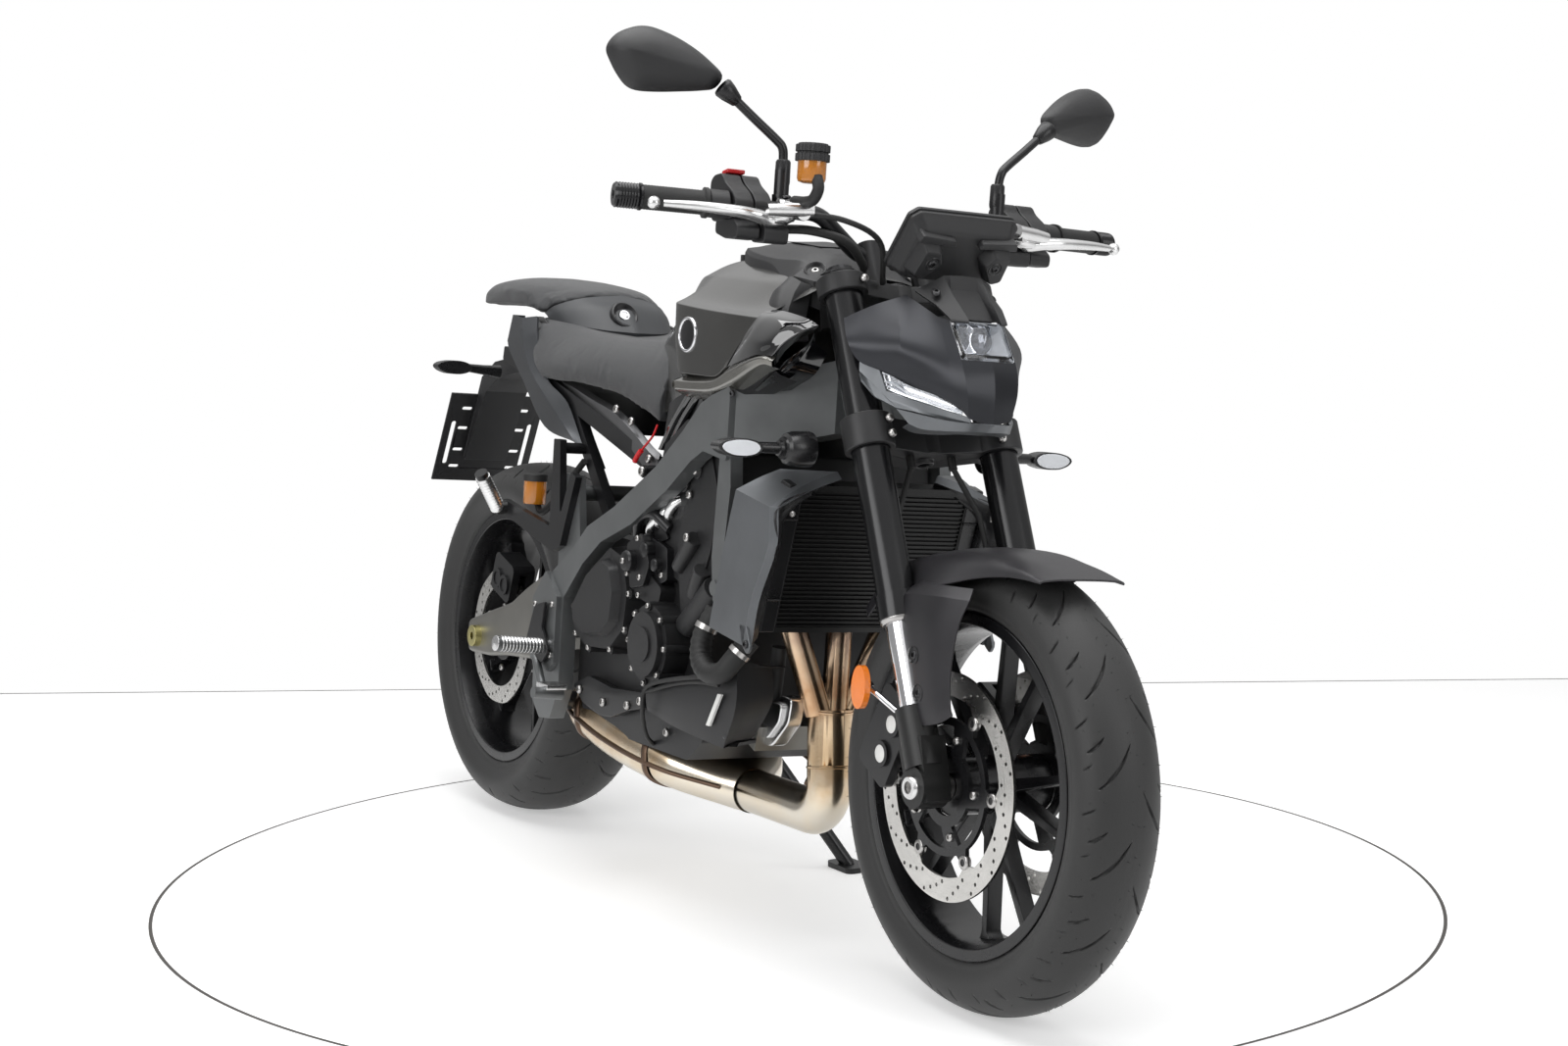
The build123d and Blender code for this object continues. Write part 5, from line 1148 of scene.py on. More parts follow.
rings = housingLayers([(78,-8,78,6,0), (86,-14,86,9,4), (88,-15,88,10,8), (88,-15,88,10,11),
    (85.5,-13,85.5,9,11.5), (85.5,-13,85.5,9,14), (87,-14,87,9,14.5), (87,-14,87,9,18), (83,-12,83,9,21),
    (78,-10,74,9,34), (72,-8,66,9,38)])
build("displayHousing", Shape(loft(rings)), mattePlastic, "steering", "display", edge=0.7, sharp=30)
screen = housingLayers([(74,-5,74,5,0.4), (74,-5,74,5,-0.6)])
build("displayScreen", Shape(loft(screen)), screenGlass, "steering")
shape = Shape()
lug = [(-72,62), (-42,61), (-29,36), (-56,0), (-76,8)]
for side in (1, -1):
    flat = np.array(lug) * [side, 1]
    top = (flat - flat.mean(0)) * 0.74 + flat.mean(0) + [0, -2]
    strip = np.array([(-80,58), (-18,56), (-22,66), (-76,70)]) * [side, 1]
    for layers in (((flat, 4, 30), (flat, 4, 40), (top, 4, 58)), ((strip, 2, 30), (strip, 2, 47))):
        shape.add(*loft([displayLayer(rounded(outline, radius, 3), w) for outline, radius, w in layers]))
build("displayLugs", shape, mattePlastic, "steering", edge=1.6, sharp=26)
spots = onDisplay([-51, 51], [34, 34], [58, 58])
way = np.array(display["out"])
cup = turned([(-3,5.5), (0.6,8.5), (0.9,9.5), (-0.5,10.5)], around=24)
build("displayCups", Shape(scatter(cup, spots, way)), smoothPlastic, "steering")
bolts("displayBolts", spots - way * 2.5, way, darkBolt, 6, 4.5, False, "steering", 2.4)
bracket = [
    [(1262,-64,940), (1281,-32,962), (1281,-22,963), (1281,0,964)],
    [(1300,-54,922), (1304,-30,936), (1286,-22,944), (1286,0,944)],
    [(1322,-47,906), (1336,-26,906), (1314,-26,912), (1314,0,912)],
    [(1326,-46,901), (1340,-26,901), (1320,-26,905), (1320,0,905)]]
build("displayBracket", Shape().sheet(bracket, (1260, 0, 900), 5, 5, columnFolds=(1, 2), rowFolds=(1,)),
    mattePlastic, "steering", wall=4, edge=1.5, sharp=22, weld=0.3)
bolts("bracketBolts", [(1293,-50,937), (1284,46,935)], [(0.62,-0.35,0.7), (0.62,0.35,0.7)], darkBolt, 6.5, 5,
    False, "steering", 2.4)
print("display")

# ---- Mirrors: a pear-shaped shell with a soft crease, its glass, the joint cup and the bent stalk
mirror = {
    "inner": (1070, -270, 1207), "across": (-0.326, -0.946, 0.0), "depth": 34,
    "outline": [(2,9), (19,26), (42,42), (68,55), (95,64), (112,66), (128,63), (147,54), (158,42), (161,30),
        (155,16), (146,1), (133,-14), (118,-20), (92,-20), (60,-17), (28,-13), (10,-8)],
    "stalk": [(1078,-262,1190), (1084,-228,1163), (1090,-193,1136), (1092,-184,1126), (1091,-181,1112),
        (1090,-180,1090)],
}
across, upward = np.array(mirror["across"]), np.array([0.0, 0.0, 1.0])
outFront = np.cross(across, upward) * -1
outFront *= np.sign(outFront[0])
outline = smoothLine(np.array(mirror["outline"], float), 4, closed=True)
centre = np.array([104.0, 22.0])


def mirrorPoint(flat, depth):
    return (np.array(mirror["inner"]) + flat[..., :1] * across + flat[..., 1:] * upward
        + np.asarray(depth)[..., None] * outFront)


share = np.linspace(1, 0.02, 14)[:, None, None]
shell = centre + (outline[None] - centre) * share
# Depth over the plane grows from the rim to a rounded ridge that runs from the joint to the far side
along = np.clip(shell[..., 0] / 160, 0, 1)
ridge = 1 - 0.16 * np.abs((shell[..., 1] - (8 + 26 * along)) / 30)
depth = mirror["depth"] * (1 - share[..., 0]**2.6)**0.62 * np.clip(ridge, 0.5, 1) * (0.62 + 0.5 * along)
rimBack = mirrorPoint(outline[None], np.full((1, len(outline)), -9.0))
lipIn = mirrorPoint((centre + (outline - centre) * 0.965)[None], np.full((1, len(outline)), -10.5))
grid = np.concatenate([lipIn, rimBack, mirrorPoint(shell, depth)])
n = grid.shape[1]
faces = gridFaces(len(grid), n, closeColumns=True)
build("mirrorShells", pair((grid, [faces, np.arange(n) + (len(grid) - 1) * n])), mattePlastic, "steering",
    "mirrors", sharp=48)
glassRing = mirrorPoint(centre + (outline - centre) * 0.965, np.full(len(outline), -9.5))
build("mirrorGlasses", pair((glassRing, [np.arange(n)[::-1]])), mirrorGlass, "steering")
stalk = smoothLine(mirror["stalk"], 8)
shape = pair(tube(stalk, 6.4, 20))
sleeve = np.array([(1090,-180,1110), (1090,-180,1107), (1090,-180,1080), (1090.5,-180,1076)])
shape.both(*tube(sleeve, [8.6, 10.4, 10.8, 10.2], 24))
shape.both(*turned([(-14,7), (-12,8.8), (4,13.2), (14,14.6), (17,13), (18,9)],
    stalk[0], stalk[0] - stalk[6], 28))
build("mirrorStalks", shape, satinBlack, "steering", sharp=40)
print("mirrors")

# ---- Cooling: rows of fins between the radiator's tanks
def onCore(out, up, across):
    # The radiator's own directions: out of its face, up the core and across the machine
    return np.stack([1102 + 0.9627 * out + 0.2706 * up, across, 561 - 0.2706 * out + 0.9627 * up], -1)


rows = -102 + 6.5 * np.arange(32)
teeth = np.stack([np.tile([-3.8, -0.9, -0.7, -3.8], 32), (rows[:, None] + [0, 0.4, 2.2, 3.4]).ravel()], 1)
build("radiatorRows", Shape(plate(np.vstack([teeth, [(-5,104), (-5,-103)]]), -136, 136, onCore)),
    radiatorBlack, flat=True)
shape = Shape()
for side in (-1, 1):
    for low, high, out in ((-110, 110, 1.5), (-62, -58, 4), (58, 62, 4)):
        shape.add(*plate(rounded([(-24, low), (out, low), (out, high), (-24, high)], 3, 3), side * 139,
            side * 162, onCore))
build("radiatorTanks", shape, smoothPlastic, edge=2, sharp=40)

# ---- Bolts of the engine's covers, the frame, the pivot and the peg plates
bolts("coverBolts", [(512,-180,428), (524,-180,386), (572,-180,369), (648,-180,376), (694,-180,412),
    (702,-180,468), (680,-180,520)], right, boltSteel, 5, 5, False)
turns = np.arange(8) * math.pi / 4
bolts("crankBolts", np.stack([792 + 58 * np.cos(turns), 0 * turns - 193, 402 + 58 * np.sin(turns)], 1), right,
    boltSteel, 4.5, 4, False)
bolts("frameBolts", [(986,-186,508), (442,-182,612), (436,-183,676), (700,-169,656), (552,-169,554)],
    right, boltSteel, 8, 5)
bolts("pivotBolts", [(430,-195,390)], right, darkBolt, 15, 4)
bolts("pegPlateBolts", [(414,-203,344), (414,-203,420), (478,-203,426), (480,-203,344)], right,
    boltSteel, 5, 4)

# ---- Exhaust: weld rings round the pipe, flange studs at the head
weld = {"at": [(1055,-20,258), (846,-26,186), (1046,-20,338)], "way": [(0.15,0,-1), (1,0,0), (0,0,1)]}
bead = turned([(-2.2,33), (-1.2,34.6), (1.2,34.6), (2.2,33), (0,32)], around=48, closed=True)
build("exhaustWelds", Shape(scatter(bead, weld["at"], weld["way"])), heatSteel)
shape = Shape()
for across in (-88, 0, 88):
    shape.add(*turned([(0,19.5), (0,32), (9,32), (9,19.5)], (1001, across, 568), (1, 0, 0), 24))
    for up in (-24, 24):
        shape.add(*turned([(9,8), (17,8), (17,0)], (1001, across, 568 + up), (1, 0, 0), 6))
build("headerFlanges", shape, darkBolt, sharp=40)

# ---- Fork: clamp bolts, caps and axle ends
forkX, forkY = 33.1, 105.0
shape, caps, ends = Shape(), Shape(), Shape()
for side in (-1, 1):
    for h in (474, 496, 701):
        spot = onFork([forkX + 34, side * (forkY - 14), h])
        shape.add(*scatter(boltHead(6, 7, 3.5), [spot], [forkForward - 0.35 * np.array([0, side, 0])]))
    top = onFork([forkX, side * forkY, 720])
    caps.add(*turned([(-4,25), (1,25), (3,22), (3,19), (9,18.5), (10,16), (10,9), (6,8.5), (6,0)], top,
        forkUp, 36))
    low = onFork([forkX, side * forkY, 224])
    shape.add(*turned([(-5,21), (-6,24), (-2,27), (0,27)], low, forkUp, 40))
    ends.add(*turned([(0,6.4), (0,15.5), (5,15.5), (7,13.5), (7,8.2), (-6,7.6), (-8,0)],
        (1430, side * 128, 300), (0, side, 0), 36))
    shape.add(*scatter(boltHead(5, 6, 3), [onFork([27.1 - 24, side * 112, -22])], [(-0.8,0,-0.6)]))
build("forkBolts", shape, boltSteel, "steering", sharp=50)
build("forkCaps", caps, darkBolt, "steering", sharp=45)
build("axleEnds", ends, brightAlloy, "steering", sharp=45)

# ---- Right side of the engine: coolant tank, hoses, bosses, injector block, pump casting, cables
tankNet = [
    [(777,-176,327), (876,-179,358), (1023,-165,401), (1012,-105,396)],
    [(780,-176,314), (884,-182,328), (1031,-168,345), (1021,-107,350)],
    [(784,-176,304), (882,-178,294), (997,-165,283), (964,-107,282)]]
rim = [
    [(p[0] - 4, p[1] + 26, p[2] + lift) for p in line] for line, lift in ((tankNet[0], 2), (tankNet[2], -2))]
points, faces = smoothNet([rim[0]] + tankNet + [rim[1]], 5, 6, rowFolds=(1, 3), columnFolds=(2,))
build("coolantTank", Shape((points, faces)), mattePlastic, node="coolant_tank", wall=5, edge=3,
    segments=3, sharp=24)
build("tankWindow", Shape(plate([(1003,359), (1013,359), (983,309), (973,309)], -183.5, -179)), stickerWhite,
    edge=0.6)
bolts("tankBolt", [(1004,-166,300)], right, darkBolt, 7, 4, False)
hose = smoothLine([(957,-168,474), (951,-184,436), (963,-192,404), (992,-194,388), (1020,-188,392),
    (1034,-176,414), (1044,-158,442)], 10)
waves = 15.5 + 0.8 * np.sin(np.arange(len(hose)) * 2.1) * (np.arange(len(hose)) < 30)
build("coolantBend", Shape(tube(hose, waves, 24)), softRubber, node="coolant_hose", sharp=60)
shape = Shape()
for a, b in ((52, 55), (6, 9)):
    shape.add(*tube(hose[a:b], 17.2, 28))
build("hoseClamps", shape, boltSteel, sharp=40)
shape = Shape()
for path, radius in (([(882,-170,570), (828,-163,522)], 13), ([(908,-168,526), (876,-160,486)], 14),
        ([(930,-156,502), (848,-154,436)], 20), ([(986,-168,508), (986,-184,508)], 18),
        ([(870,-150,669), (870,-168,669)], 13), ([(832,-150,647), (832,-168,647)], 13)):
    shape.add(*tube(np.linspace(*np.array(path, float), 3), radius, 22))
shape.add(*plate(rounded([(816,560), (862,690), (900,706), (932,640), (922,560), (880,470), (840,450)],
    14, 4), -164, -158))
build("headBosses", shape, engineBlack, sharp=40, edge=1.5)
bolts("headBolts", [(882,-182,571), (870,-168,669), (832,-168,647), (852,-166,632)], right, boltSteel, 7, 5,
    False)
shape = Shape()
for corners, low, high in (([(694,545), (742,566), (772,520), (756,486), (712,478)], -186, -150),
        ([(742,560), (800,548), (806,500), (770,486)], -172, -140),
        ([(684,560), (700,590), (760,590), (790,560), (740,548)], -165, -135)):
    shape.add(*plate(rounded(corners, 7, 4), low, high))
for spot, radius in (((716, -196, 520), 17), ((752, -184, 540), 13), ((780, -180, 520), 11)):
    shape.add(*turned([(-20, radius), (0, radius), (4, radius * 0.8), (5,0)], spot, right, 28))
shape.add(*tube(smoothLine([(700,-170,560), (722,-180,585), (758,-176,596), (790,-162,575)], 6), 9, 16))
build("injectorBlock", shape, satinBlack, sharp=40, edge=2)
bolts("injectorBolts", [(703,-186,500), (745,-186,498), (732,-186,556), (716,-201,520), (737,-182,470),
    (790,-172,506)], right, boltSteel, 5, 4, False)
coil = np.arange(64) / 64
turns = coil * 3 * math.tau
curl = np.stack([9 * np.cos(turns), 15 * np.sin(turns), 14 * np.cos(turns)], 1)
path = np.array([722, -156, 566]) + coil[:, None] * [78, 4, 42] + curl
build("springHose", Shape(tube(path, 7.5, 14)), brightAlloy)
casting = [(913,284), (935,314), (1010,358), (1040,355), (1033,318), (991,278), (925,277)]
shape = Shape(plate(rounded(casting, 10, 4), -82, -58),
    plate(rounded(np.array(casting) * 0.72 + [273, 89], 8, 4), -88, -80))
shape.add(*turned([(-22,17), (4,17), (6,14), (6,0)], (976, -74, 336), (0, -0.5, 0.86), 28))
build("pumpCasting", shape, brightAlloy, sharp=40, edge=2.5)
build("pumpHose", Shape(tube(smoothLine([(974,-76,330), (992,-82,372), (1000,-84,425)], 6), 11, 18)),
    softRubber)
shape = Shape()
for path, radius in (([(979,-188,379), (885,-192,363), (812,-197,341), (796,-195,306), (768,-168,256),
        (724,-112,231)], 3.4), ([(804,-196,332), (878,-190,354), (953,-189,368), (1010,-186,372)], 2.8)):
    shape.add(*tube(smoothLine(path, 8), radius, 10))
build("sensorCables", shape, softRubber)

# ---- Fork tubes: bright only between the lower clamp's tube and the black lug
def bandAlong(material, along, low, high, color, metallic, roughness):
    # Outside the band from low to high along a direction (frame metres) the finish turns into another
    tree = material.node_tree
    shader = tree.nodes["Principled BSDF"]
    where = node(tree, "ShaderNodeTexCoord")
    height = node(tree, "ShaderNodeVectorMath", [(0, where.outputs["Object"])], operation="DOT_PRODUCT")
    height.inputs[1].default_value = along
    middle = node(tree, "ShaderNodeMath", [(0, height.outputs["Value"])], operation="COMPARE")
    middle.inputs[1].default_value, middle.inputs[2].default_value = (low + high) / 2, (high - low) / 2
    for label, other, kind in (("Base Color", (*color, 1), "RGBA"), ("Metallic", metallic, "FLOAT"),
            ("Roughness", roughness, "FLOAT")):
        own = shader.inputs[label]
        mix = node(tree, "ShaderNodeMix", [("Factor", middle.outputs["Value"])], data_type=kind)
        mix.inputs["A"].default_value = other
        if own.is_linked:
            tree.links.new(own.links[0].from_socket, mix.inputs["B"])
        else:
            mix.inputs["B"].default_value = own.default_value
        tree.links.new(mix.outputs["Result"], own)


legTube = chromeTube.copy()
legTube.name = "legTube"
legUp = forkUp @ toFrame
legFoot = float(place(forkFoot) @ legUp)
bandAlong(legTube, legUp, legFoot + 0.104, legFoot + 0.300, (0.012, 0.012, 0.012), 0.2, 0.42)
nodes["fork_legs"].data.materials[0] = legTube

# ---- Handlebar: grips, switch blocks, levers, reservoir, mirror feet and cables
barStart, barWay = np.array([1080.4, -292, 1041.7]), np.array([-67.0, -280, 3])
barWay /= np.linalg.norm(barWay)
ribs = np.stack([np.repeat(np.arange(6, 88, 4.0), 2) + np.tile([0, 2], 21), np.tile([16.4, 16.8], 21)], 1)
gripProfile = np.vstack([[(-2,12), (-2,21), (3,21), (5,17)], ribs, [(90,15.8), (90,11)]])
ends = np.stack([np.repeat(np.arange(96, 124, 4.0), 2) + np.tile([0, 2], 7), np.tile([17.6, 16.6], 7)], 1)
endProfile = np.vstack([
    [(90,12), (90,18.5), (93,18.5), (94,16)], ends, [(125,17.4), (128,15), (128,6), (122,5), (122,0)]])
build("gripRubbers", pair(turned(gripProfile, barStart, barWay, 40)), softRubber, "steering", "grips",
    sharp=50)
build("barEnds", pair(turned(endProfile, barStart, barWay, 36)), forkBlack, "steering", sharp=40)
switches = {
    "outline": [(1035,1040), (1035,1076), (1045,1084), (1066,1086), (1076,1074), (1100,1060), (1112,1046),
        (1104,1024), (1060,1020), (1045,1020)],
    "halves": ((-262, -233), (-231, -204)), "red": [(1046,1084), (1064,1087), (1064,1093), (1048,1090)],
}
shape = Shape()
for low, high in switches["halves"]:
    shape.both(*plate(rounded(switches["outline"], 6, 4), low, high))
for outline, low, high in (([(1056,1022), (1056,1004), (1084,996), (1118,996), (1120,1012), (1104,1024)],
        -262, -226), ([(1080,1016), (1088,994), (1124,993), (1126,1014), (1110,1022)], -222, -184)):
    shape.both(*plate(rounded(outline, 6, 4), low, high))
shape.both(*turned([(-31,12), (-31,19.5), (-3,19.5), (-3,12)], barStart, barWay, 32))
build("switchBlocks", shape, mattePlastic, "steering", "switchgear", edge=2.2, sharp=40)
shape = pair(plate([(1034,1048), (1029,1052), (1029,1062), (1034,1066)], -256, -238))
shape.both(*plate([(1034,1070), (1030,1071), (1032,1077), (1036,1078)], -228, -210))
shape.add(*tube([(1040,252,1046), (1022,258,1044), (1010,268,1044)], [5, 4, 5.5], 14, squash=0.7))
build("switchKeys", shape, smoothPlastic, "steering", edge=1)
build("killSwitch", Shape(plate(switches["red"], -252, -224)), redPlastic, "steering", edge=1.5)
lever = smoothLine([(1137,-196,1029), (1124,-215,1025), (1128,-240,1028), (1133,-275,1031), (1124,-330,1033),
    (1112,-372,1033)], 6)
size = np.interp(np.arange(len(lever)), [0, 6, 14, 24, 30], [11, 11.5, 9.5, 7, 5.2])
shape = pair(tube(lever, size, 20, squash=0.95))
shape.both(*turned([(-9,0), (-8,4.5), (-4.5,7.8), (0,9), (4.5,7.8), (8,4.5), (9,0)], (1108, -384, 1033),
    (0, 1, 0), 20))
build("leverBlades", shape, brightAlloy, "steering", "levers", sharp=50)
shape = pair(tube([(1096,-181,1041), (1122,-179,1042), (1150,-178,1038), (1162,-184,1034)],
    [15, 14, 13, 9], 18))
shape.both(*turned([(-14,10), (-12,15.5), (12,15.5), (14,10)], (1106, -181, 1041), barWay, 24))
shape.both(*tube([(1160,-170,1040), (1152,-206,1038), (1146,-232,1036)], [10, 9.5, 8], 16))
shape.both(*tube([(1132,-190,1031), (1138,-200,1028), (1134,-214,1027)], [9, 10, 8], 12))
build("leverPerches", shape, brightAlloy, "steering", sharp=50)
bolts("leverPivots", [(1126,-190,1040), (1106,-181,1057)], (0, 0, 1), darkBolt, 7, 4, body="steering")
cup = (1180, -187, 1074)
build("reservoirCup", Shape(turned([(0,0), (0,12), (2,18), (6,19.5), (30,19.5), (30,0)], cup, (0, 0, 1), 40)),
    cupAmberPaintedGlow, "steering", "brake_reservoir", sharp=35)
turns = np.arange(60) * math.tau / 60
knurl = (23.5 - 1.3 * (np.arange(60) % 3 == 0))[:, None] * np.stack([np.cos(turns), np.sin(turns)], 1)
shape = Shape()
for low, high, share in ((29, 39, 1), (39, 41.5, 0.9), (41.5, 51, 1), (51, 53, 0.86)):
    shape.add(*plate(knurl * share, low, high, lambda a, b, c: np.array(cup) + np.stack([a, b, c], -1)))
build("reservoirCap", shape, mattePlastic, "steering", sharp=30, edge=0.6)
build("reservoirStem", Shape(tube(smoothLine([(1194,-187,1082), (1200,-187,1066), (1186,-186,1052),
    (1158,-182,1050), (1128,-180,1052)], 6), 8, 18)), softRubber, "steering")
build("mirrorFeet", pair(turned([(-46,8), (-46,12.5), (-34,12.5), (-34,10.5), (0,10.5), (0,8)],
    (1091, -181, 1096), around=28)), satinBlack, "steering", sharp=35)
shape = Shape()
for path, radius in (([(1050,-222,1022), (1078,-185,1016), (1112,-140,1016), (1128,-90,1002), (1118,-48,962)],
        6.5), ([(1150,-188,1034), (1176,-130,1030), (1176,-70,1006), (1150,-44,950)], 4)):
    shape.both(*tube(smoothLine(path, 8), radius, 14))
build("barCables", shape, softRubber, "steering")
print("controls")

# ---- Radiator shrouds: one folded skin a side, dark liner, and the signals on their drums
shroud = {
    "rear": [(1006,-206,455), (1018,-206,505), (1033,-206,565), (1046,-206,610), (1060,-206,654),
        (1073,-176,673), (1083,-150,686)],
    "front": [(1106,-206,441), (1119,-206,503), (1151,-206,565), (1160,-206,592), (1156,-206,637),
        (1138,-138,670), (1128,-84,687)],
    "liner": [(1072,-164,448), (1090,-164,500), (1110,-164,560), (1120,-164,590), (1131,-164,622),
        (1122,-126,649), (1110,-86,667)],
}
rear, front, liner = (np.array(shroud[k], float) for k in ("rear", "front", "liner"))
fold = np.array([[-3, 14, 0]] * 5 + [[-3, 9, -9], [-3, 8, -12]], float)
lead = np.array([[4, 12, 0]] * 5 + [[3, 8, -9], [3, 6, -10]], float)
skin = np.stack([rear + fold, rear, rear * 0.5 + front * 0.5, front, front + lead], 1)
points, faces = smoothNet(skin, 5, 4, rowFolds=(2, 4), columnFolds=(1, 3))
build("shroudSkins", Shape().both(points, faces), shroudGrey, node="radiator_covers", wall=3.5, edge=2.5,
    segments=3, sharp=26)
points, faces = smoothNet(np.stack([front + lead, (front + lead + liner) / 2, liner, liner + [-30, 0, 0]], 1),
    5, 3)
build("shroudLiners", Shape().both(points, faces), smoothPlastic, wall=3, edge=1)
build("shroudTabs", pair(plate(rounded([(1092,470), (1111,470), (1126,441), (1118,430), (1104,440)], 4, 3),
    -206, -201)), shroudGrey, edge=1)
bolts("shroudTabBolts", [(1115,-206,444)], right, darkBolt, 6, 3.5)
bolts("shroudPins", [(1149,-165,628)], (0.6, -0.8, 0), boltSteel, 4.5, 4)
pod = [(0,0), (9,-9), (26,-13), (50,-12.5), (66,-7), (74,1), (66,8), (48,12), (26,12.5), (9,9)]
shape, lenses = Shape(), Shape()
for start, low, high, outline in (((222, 716), 1138, 1163, 1.0), ((114, 792), -108, -132, 0.98)):
    for inner, a, b, group in ((1.0, low, high, shape),
            (0.84, high, high + 1.5 * np.sign(high - low), lenses)):
        flat = (np.array(rounded(pod, 6, 3)) - [37, 0]) * inner * outline + [37 * outline, 0]
        group.both(*plate(flat * [-1, 1] + [-start[0], start[1]], a, b,
            lambda p, q, c: np.stack([c, p, q], -1)))
build("signalPods", shape, smoothPlastic, node="turn_signals", edge=1.5, sharp=50)
build("signalLenses", lenses, lampWhite, edge=0.8, sharp=50)
shape = pair(turned([(-41,24), (-36,25), (-12,24), (-3,21), (0,16), (3,15), (3,11), (9,10.5), (10,8),
    (40,7.5)], (1150, -186, 717), (0, -1, 0), 36))
shape.both(*tube([(-120,-58,788), (-120,-90,790), (-120,-118,792)], [12, 9, 7.5], 20))
build("signalStalks", shape, smoothPlastic, sharp=40)

# ---- Small things: bare ovals on the calipers, ribbed passenger pegs
disc = turned([(0,0), (0,12.5), (0.7,12.5), (1,12), (1,0)], around=36)
spots = np.array([(1326,-97.5,364.5), (1303.4,-97.5,321.6)])
build("caliperOvals", Shape(scatter(disc, spots, right), scatter(disc, mirrored(spots), mirrored(right))),
    stickerWhite, "steering", sharp=40)
pegRibs = np.vstack([
    [(-2,9), (-2,12.5)], np.stack([np.repeat(np.arange(2, 64, 6.0), 2) + np.tile([0, 4], 11),
    np.tile([13, 11.2], 11)], 1), [(68,12.5), (70,0)]])
build("pegSleeves", pair(turned(pegRibs, (244, -206, 564), (24, -44, 58), 20)), brightAlloy, sharp=35)
print("shrouds, signals and trim")

# ---- Swingarm's broad sides, pegs, silencer and its seams, brackets, rear brake cup
arm = [(-48,339), (38,364), (132,390), (199,425), (264,454), (343,472), (396,430), (396,352), (299,307),
    (222,303), (129,296), (49,285), (-42,282)]
build("armSides", Shape(plate(rounded(arm, 12, 4), -124, -106), plate(rounded(arm, 12, 4), 119, 147)),
    armAlloy, edge=7, segments=4, sharp=40)
pegTeeth = np.vstack([
    [(-2,9), (-2,12.5)], np.stack([np.repeat(np.arange(8, 84, 6.0), 2) + np.tile([0, 4], 13),
    np.tile([13.2, 11.6], 13)], 1), [(90,12.5), (92,0)]])
shape = pair(turned(pegTeeth, (464, -206, 357), (6, -95, 6), 22))
shape.add(*plate(rounded([(560,305), (600,305), (600,314), (560,314)], 3, 3), -262, -228))
build("pegTreads", shape, brightAlloy, sharp=35, edge=0.6)
stations = np.array([(385,40,20,258,2.6), (392,84,34,257,3), (430,112,42,252,3.2), (500,123,46,244,3.4),
    (580,126,47,232,3.4), (680,123,45,219,3.2), (760,104,42,206,2.8), (820,58,37,192,2.3), (852,34,34,186,2)],
    float)
stations = smoothLine(stations, 5)
turns = np.arange(64) * math.tau / 64


def silencerRing(row, extra=0.0):
    # A rounded box section: cosine and sine raised to a power below one
    x, half, tall, level, power = (row[..., k, None] for k in range(5))
    bend = lambda v: np.sign(v) * np.abs(v)**(2 / power)
    return np.stack([x + 0 * turns, -28 + (half + extra) * bend(np.cos(turns)),
        level + (tall + extra) * bend(np.sin(turns))], -1)


rings = silencerRing(stations)
build("silencerShell", Shape().add(rings.reshape(-1, 3),
    [gridFaces(len(rings), 64, closeColumns=True), np.arange(64)[::-1]]), heatSteel, node="exhaust_muffler",
    sharp=50)
shape = Shape()
for first in (14, 27):
    band = np.stack([silencerRing(stations[first], grow) + [along, 0, 0]
        for along, grow in ((-8, 0), (-4, 3), (4, 3), (8, 0))])
    band[..., 0] -= 0.25 * (band[..., 2] - 220)
    shape.add(band.reshape(-1, 3), gridFaces(4, 64, closeColumns=True))
seam = silencerRing(stations[4:38], 0.5)[:, 33] + [0, -1, 6]
shape.both(*tube(seam, 3.6, 10))
build("silencerSeams", shape, weldBrown, sharp=60)
shape = Shape(plate(rounded([(500,300), (556,322), (640,314), (742,322), (756,300), (700,288), (640,268),
    (600,266), (540,276)], 8, 4), -170, -158))
shape.add(*plate(rounded([(402,352), (432,420), (470,430), (462,386), (492,352), (470,330)], 6, 4),
    -214, -208))
build("lowerBrackets", shape, satinBlack, edge=1.5, sharp=40)
bolts("lowerBolts", [(530,-171,296), (616,-171,288), (742,-171,309), (700,-171,296), (800,-153,270)], right,
    boltSteel, 7, 5, False)
build("rearCup", Shape(turned([(0,0), (0,18), (3,19), (38,19), (38,0)], (300, -164, 575), (0, 0, 1), 32)),
    cupAmberPaintedGlow, node="rear_reservoir", sharp=35)
shape = Shape(turned([(38,15), (38,20.5), (49,20.5), (51,18), (51,0)], (300, -164, 575), (0, 0, 1), 32))
shape.add(*tube(smoothLine([(300,-160,580), (318,-158,562), (360,-152,590), (448,-147,656)], 6), 5.5, 14))
build("rearCap", shape, softRubber, sharp=35)
print("rear pieces")

# ---- Studio: pale floor, soft light, and the camera
# Lights by place, target, size and watts. The floor ends at a white wall behind, square to the view
# turned by wallTurn. A thin dark strip along that edge is painted shade of the corner, and a thin dark ring
# round the machine is painted shade in the turntable's gap.
studio = {
    "cameraAt": (3.2598, -1.8538, 0.9610), "yaw": 149.844, "pitch": -5.853, "roll": -0.304, "lens": 55.0,
    "sensor": 36.0, "wallAway": 5.59, "wallTurn": 1.4, "grooveAt": (0.018, 0.050), "grooveRadius": 1.002,
    "lights": [((0.2, -0.3, 3.4), (0, 0, 0.5), (3.6, 2.4), 95),
        ((1.2, -3.6, 1.9), (0.1, 0, 0.6), (2.6, 1.6), 60), ((3.8, 1.2, 1.8), (0.3, 0, 0.6), (1.8, 1.8), 30)],
    "worldCamera": 1.0, "worldReflect": 1.1, "worldSide": 0.35, "worldLight": 0.32,
}


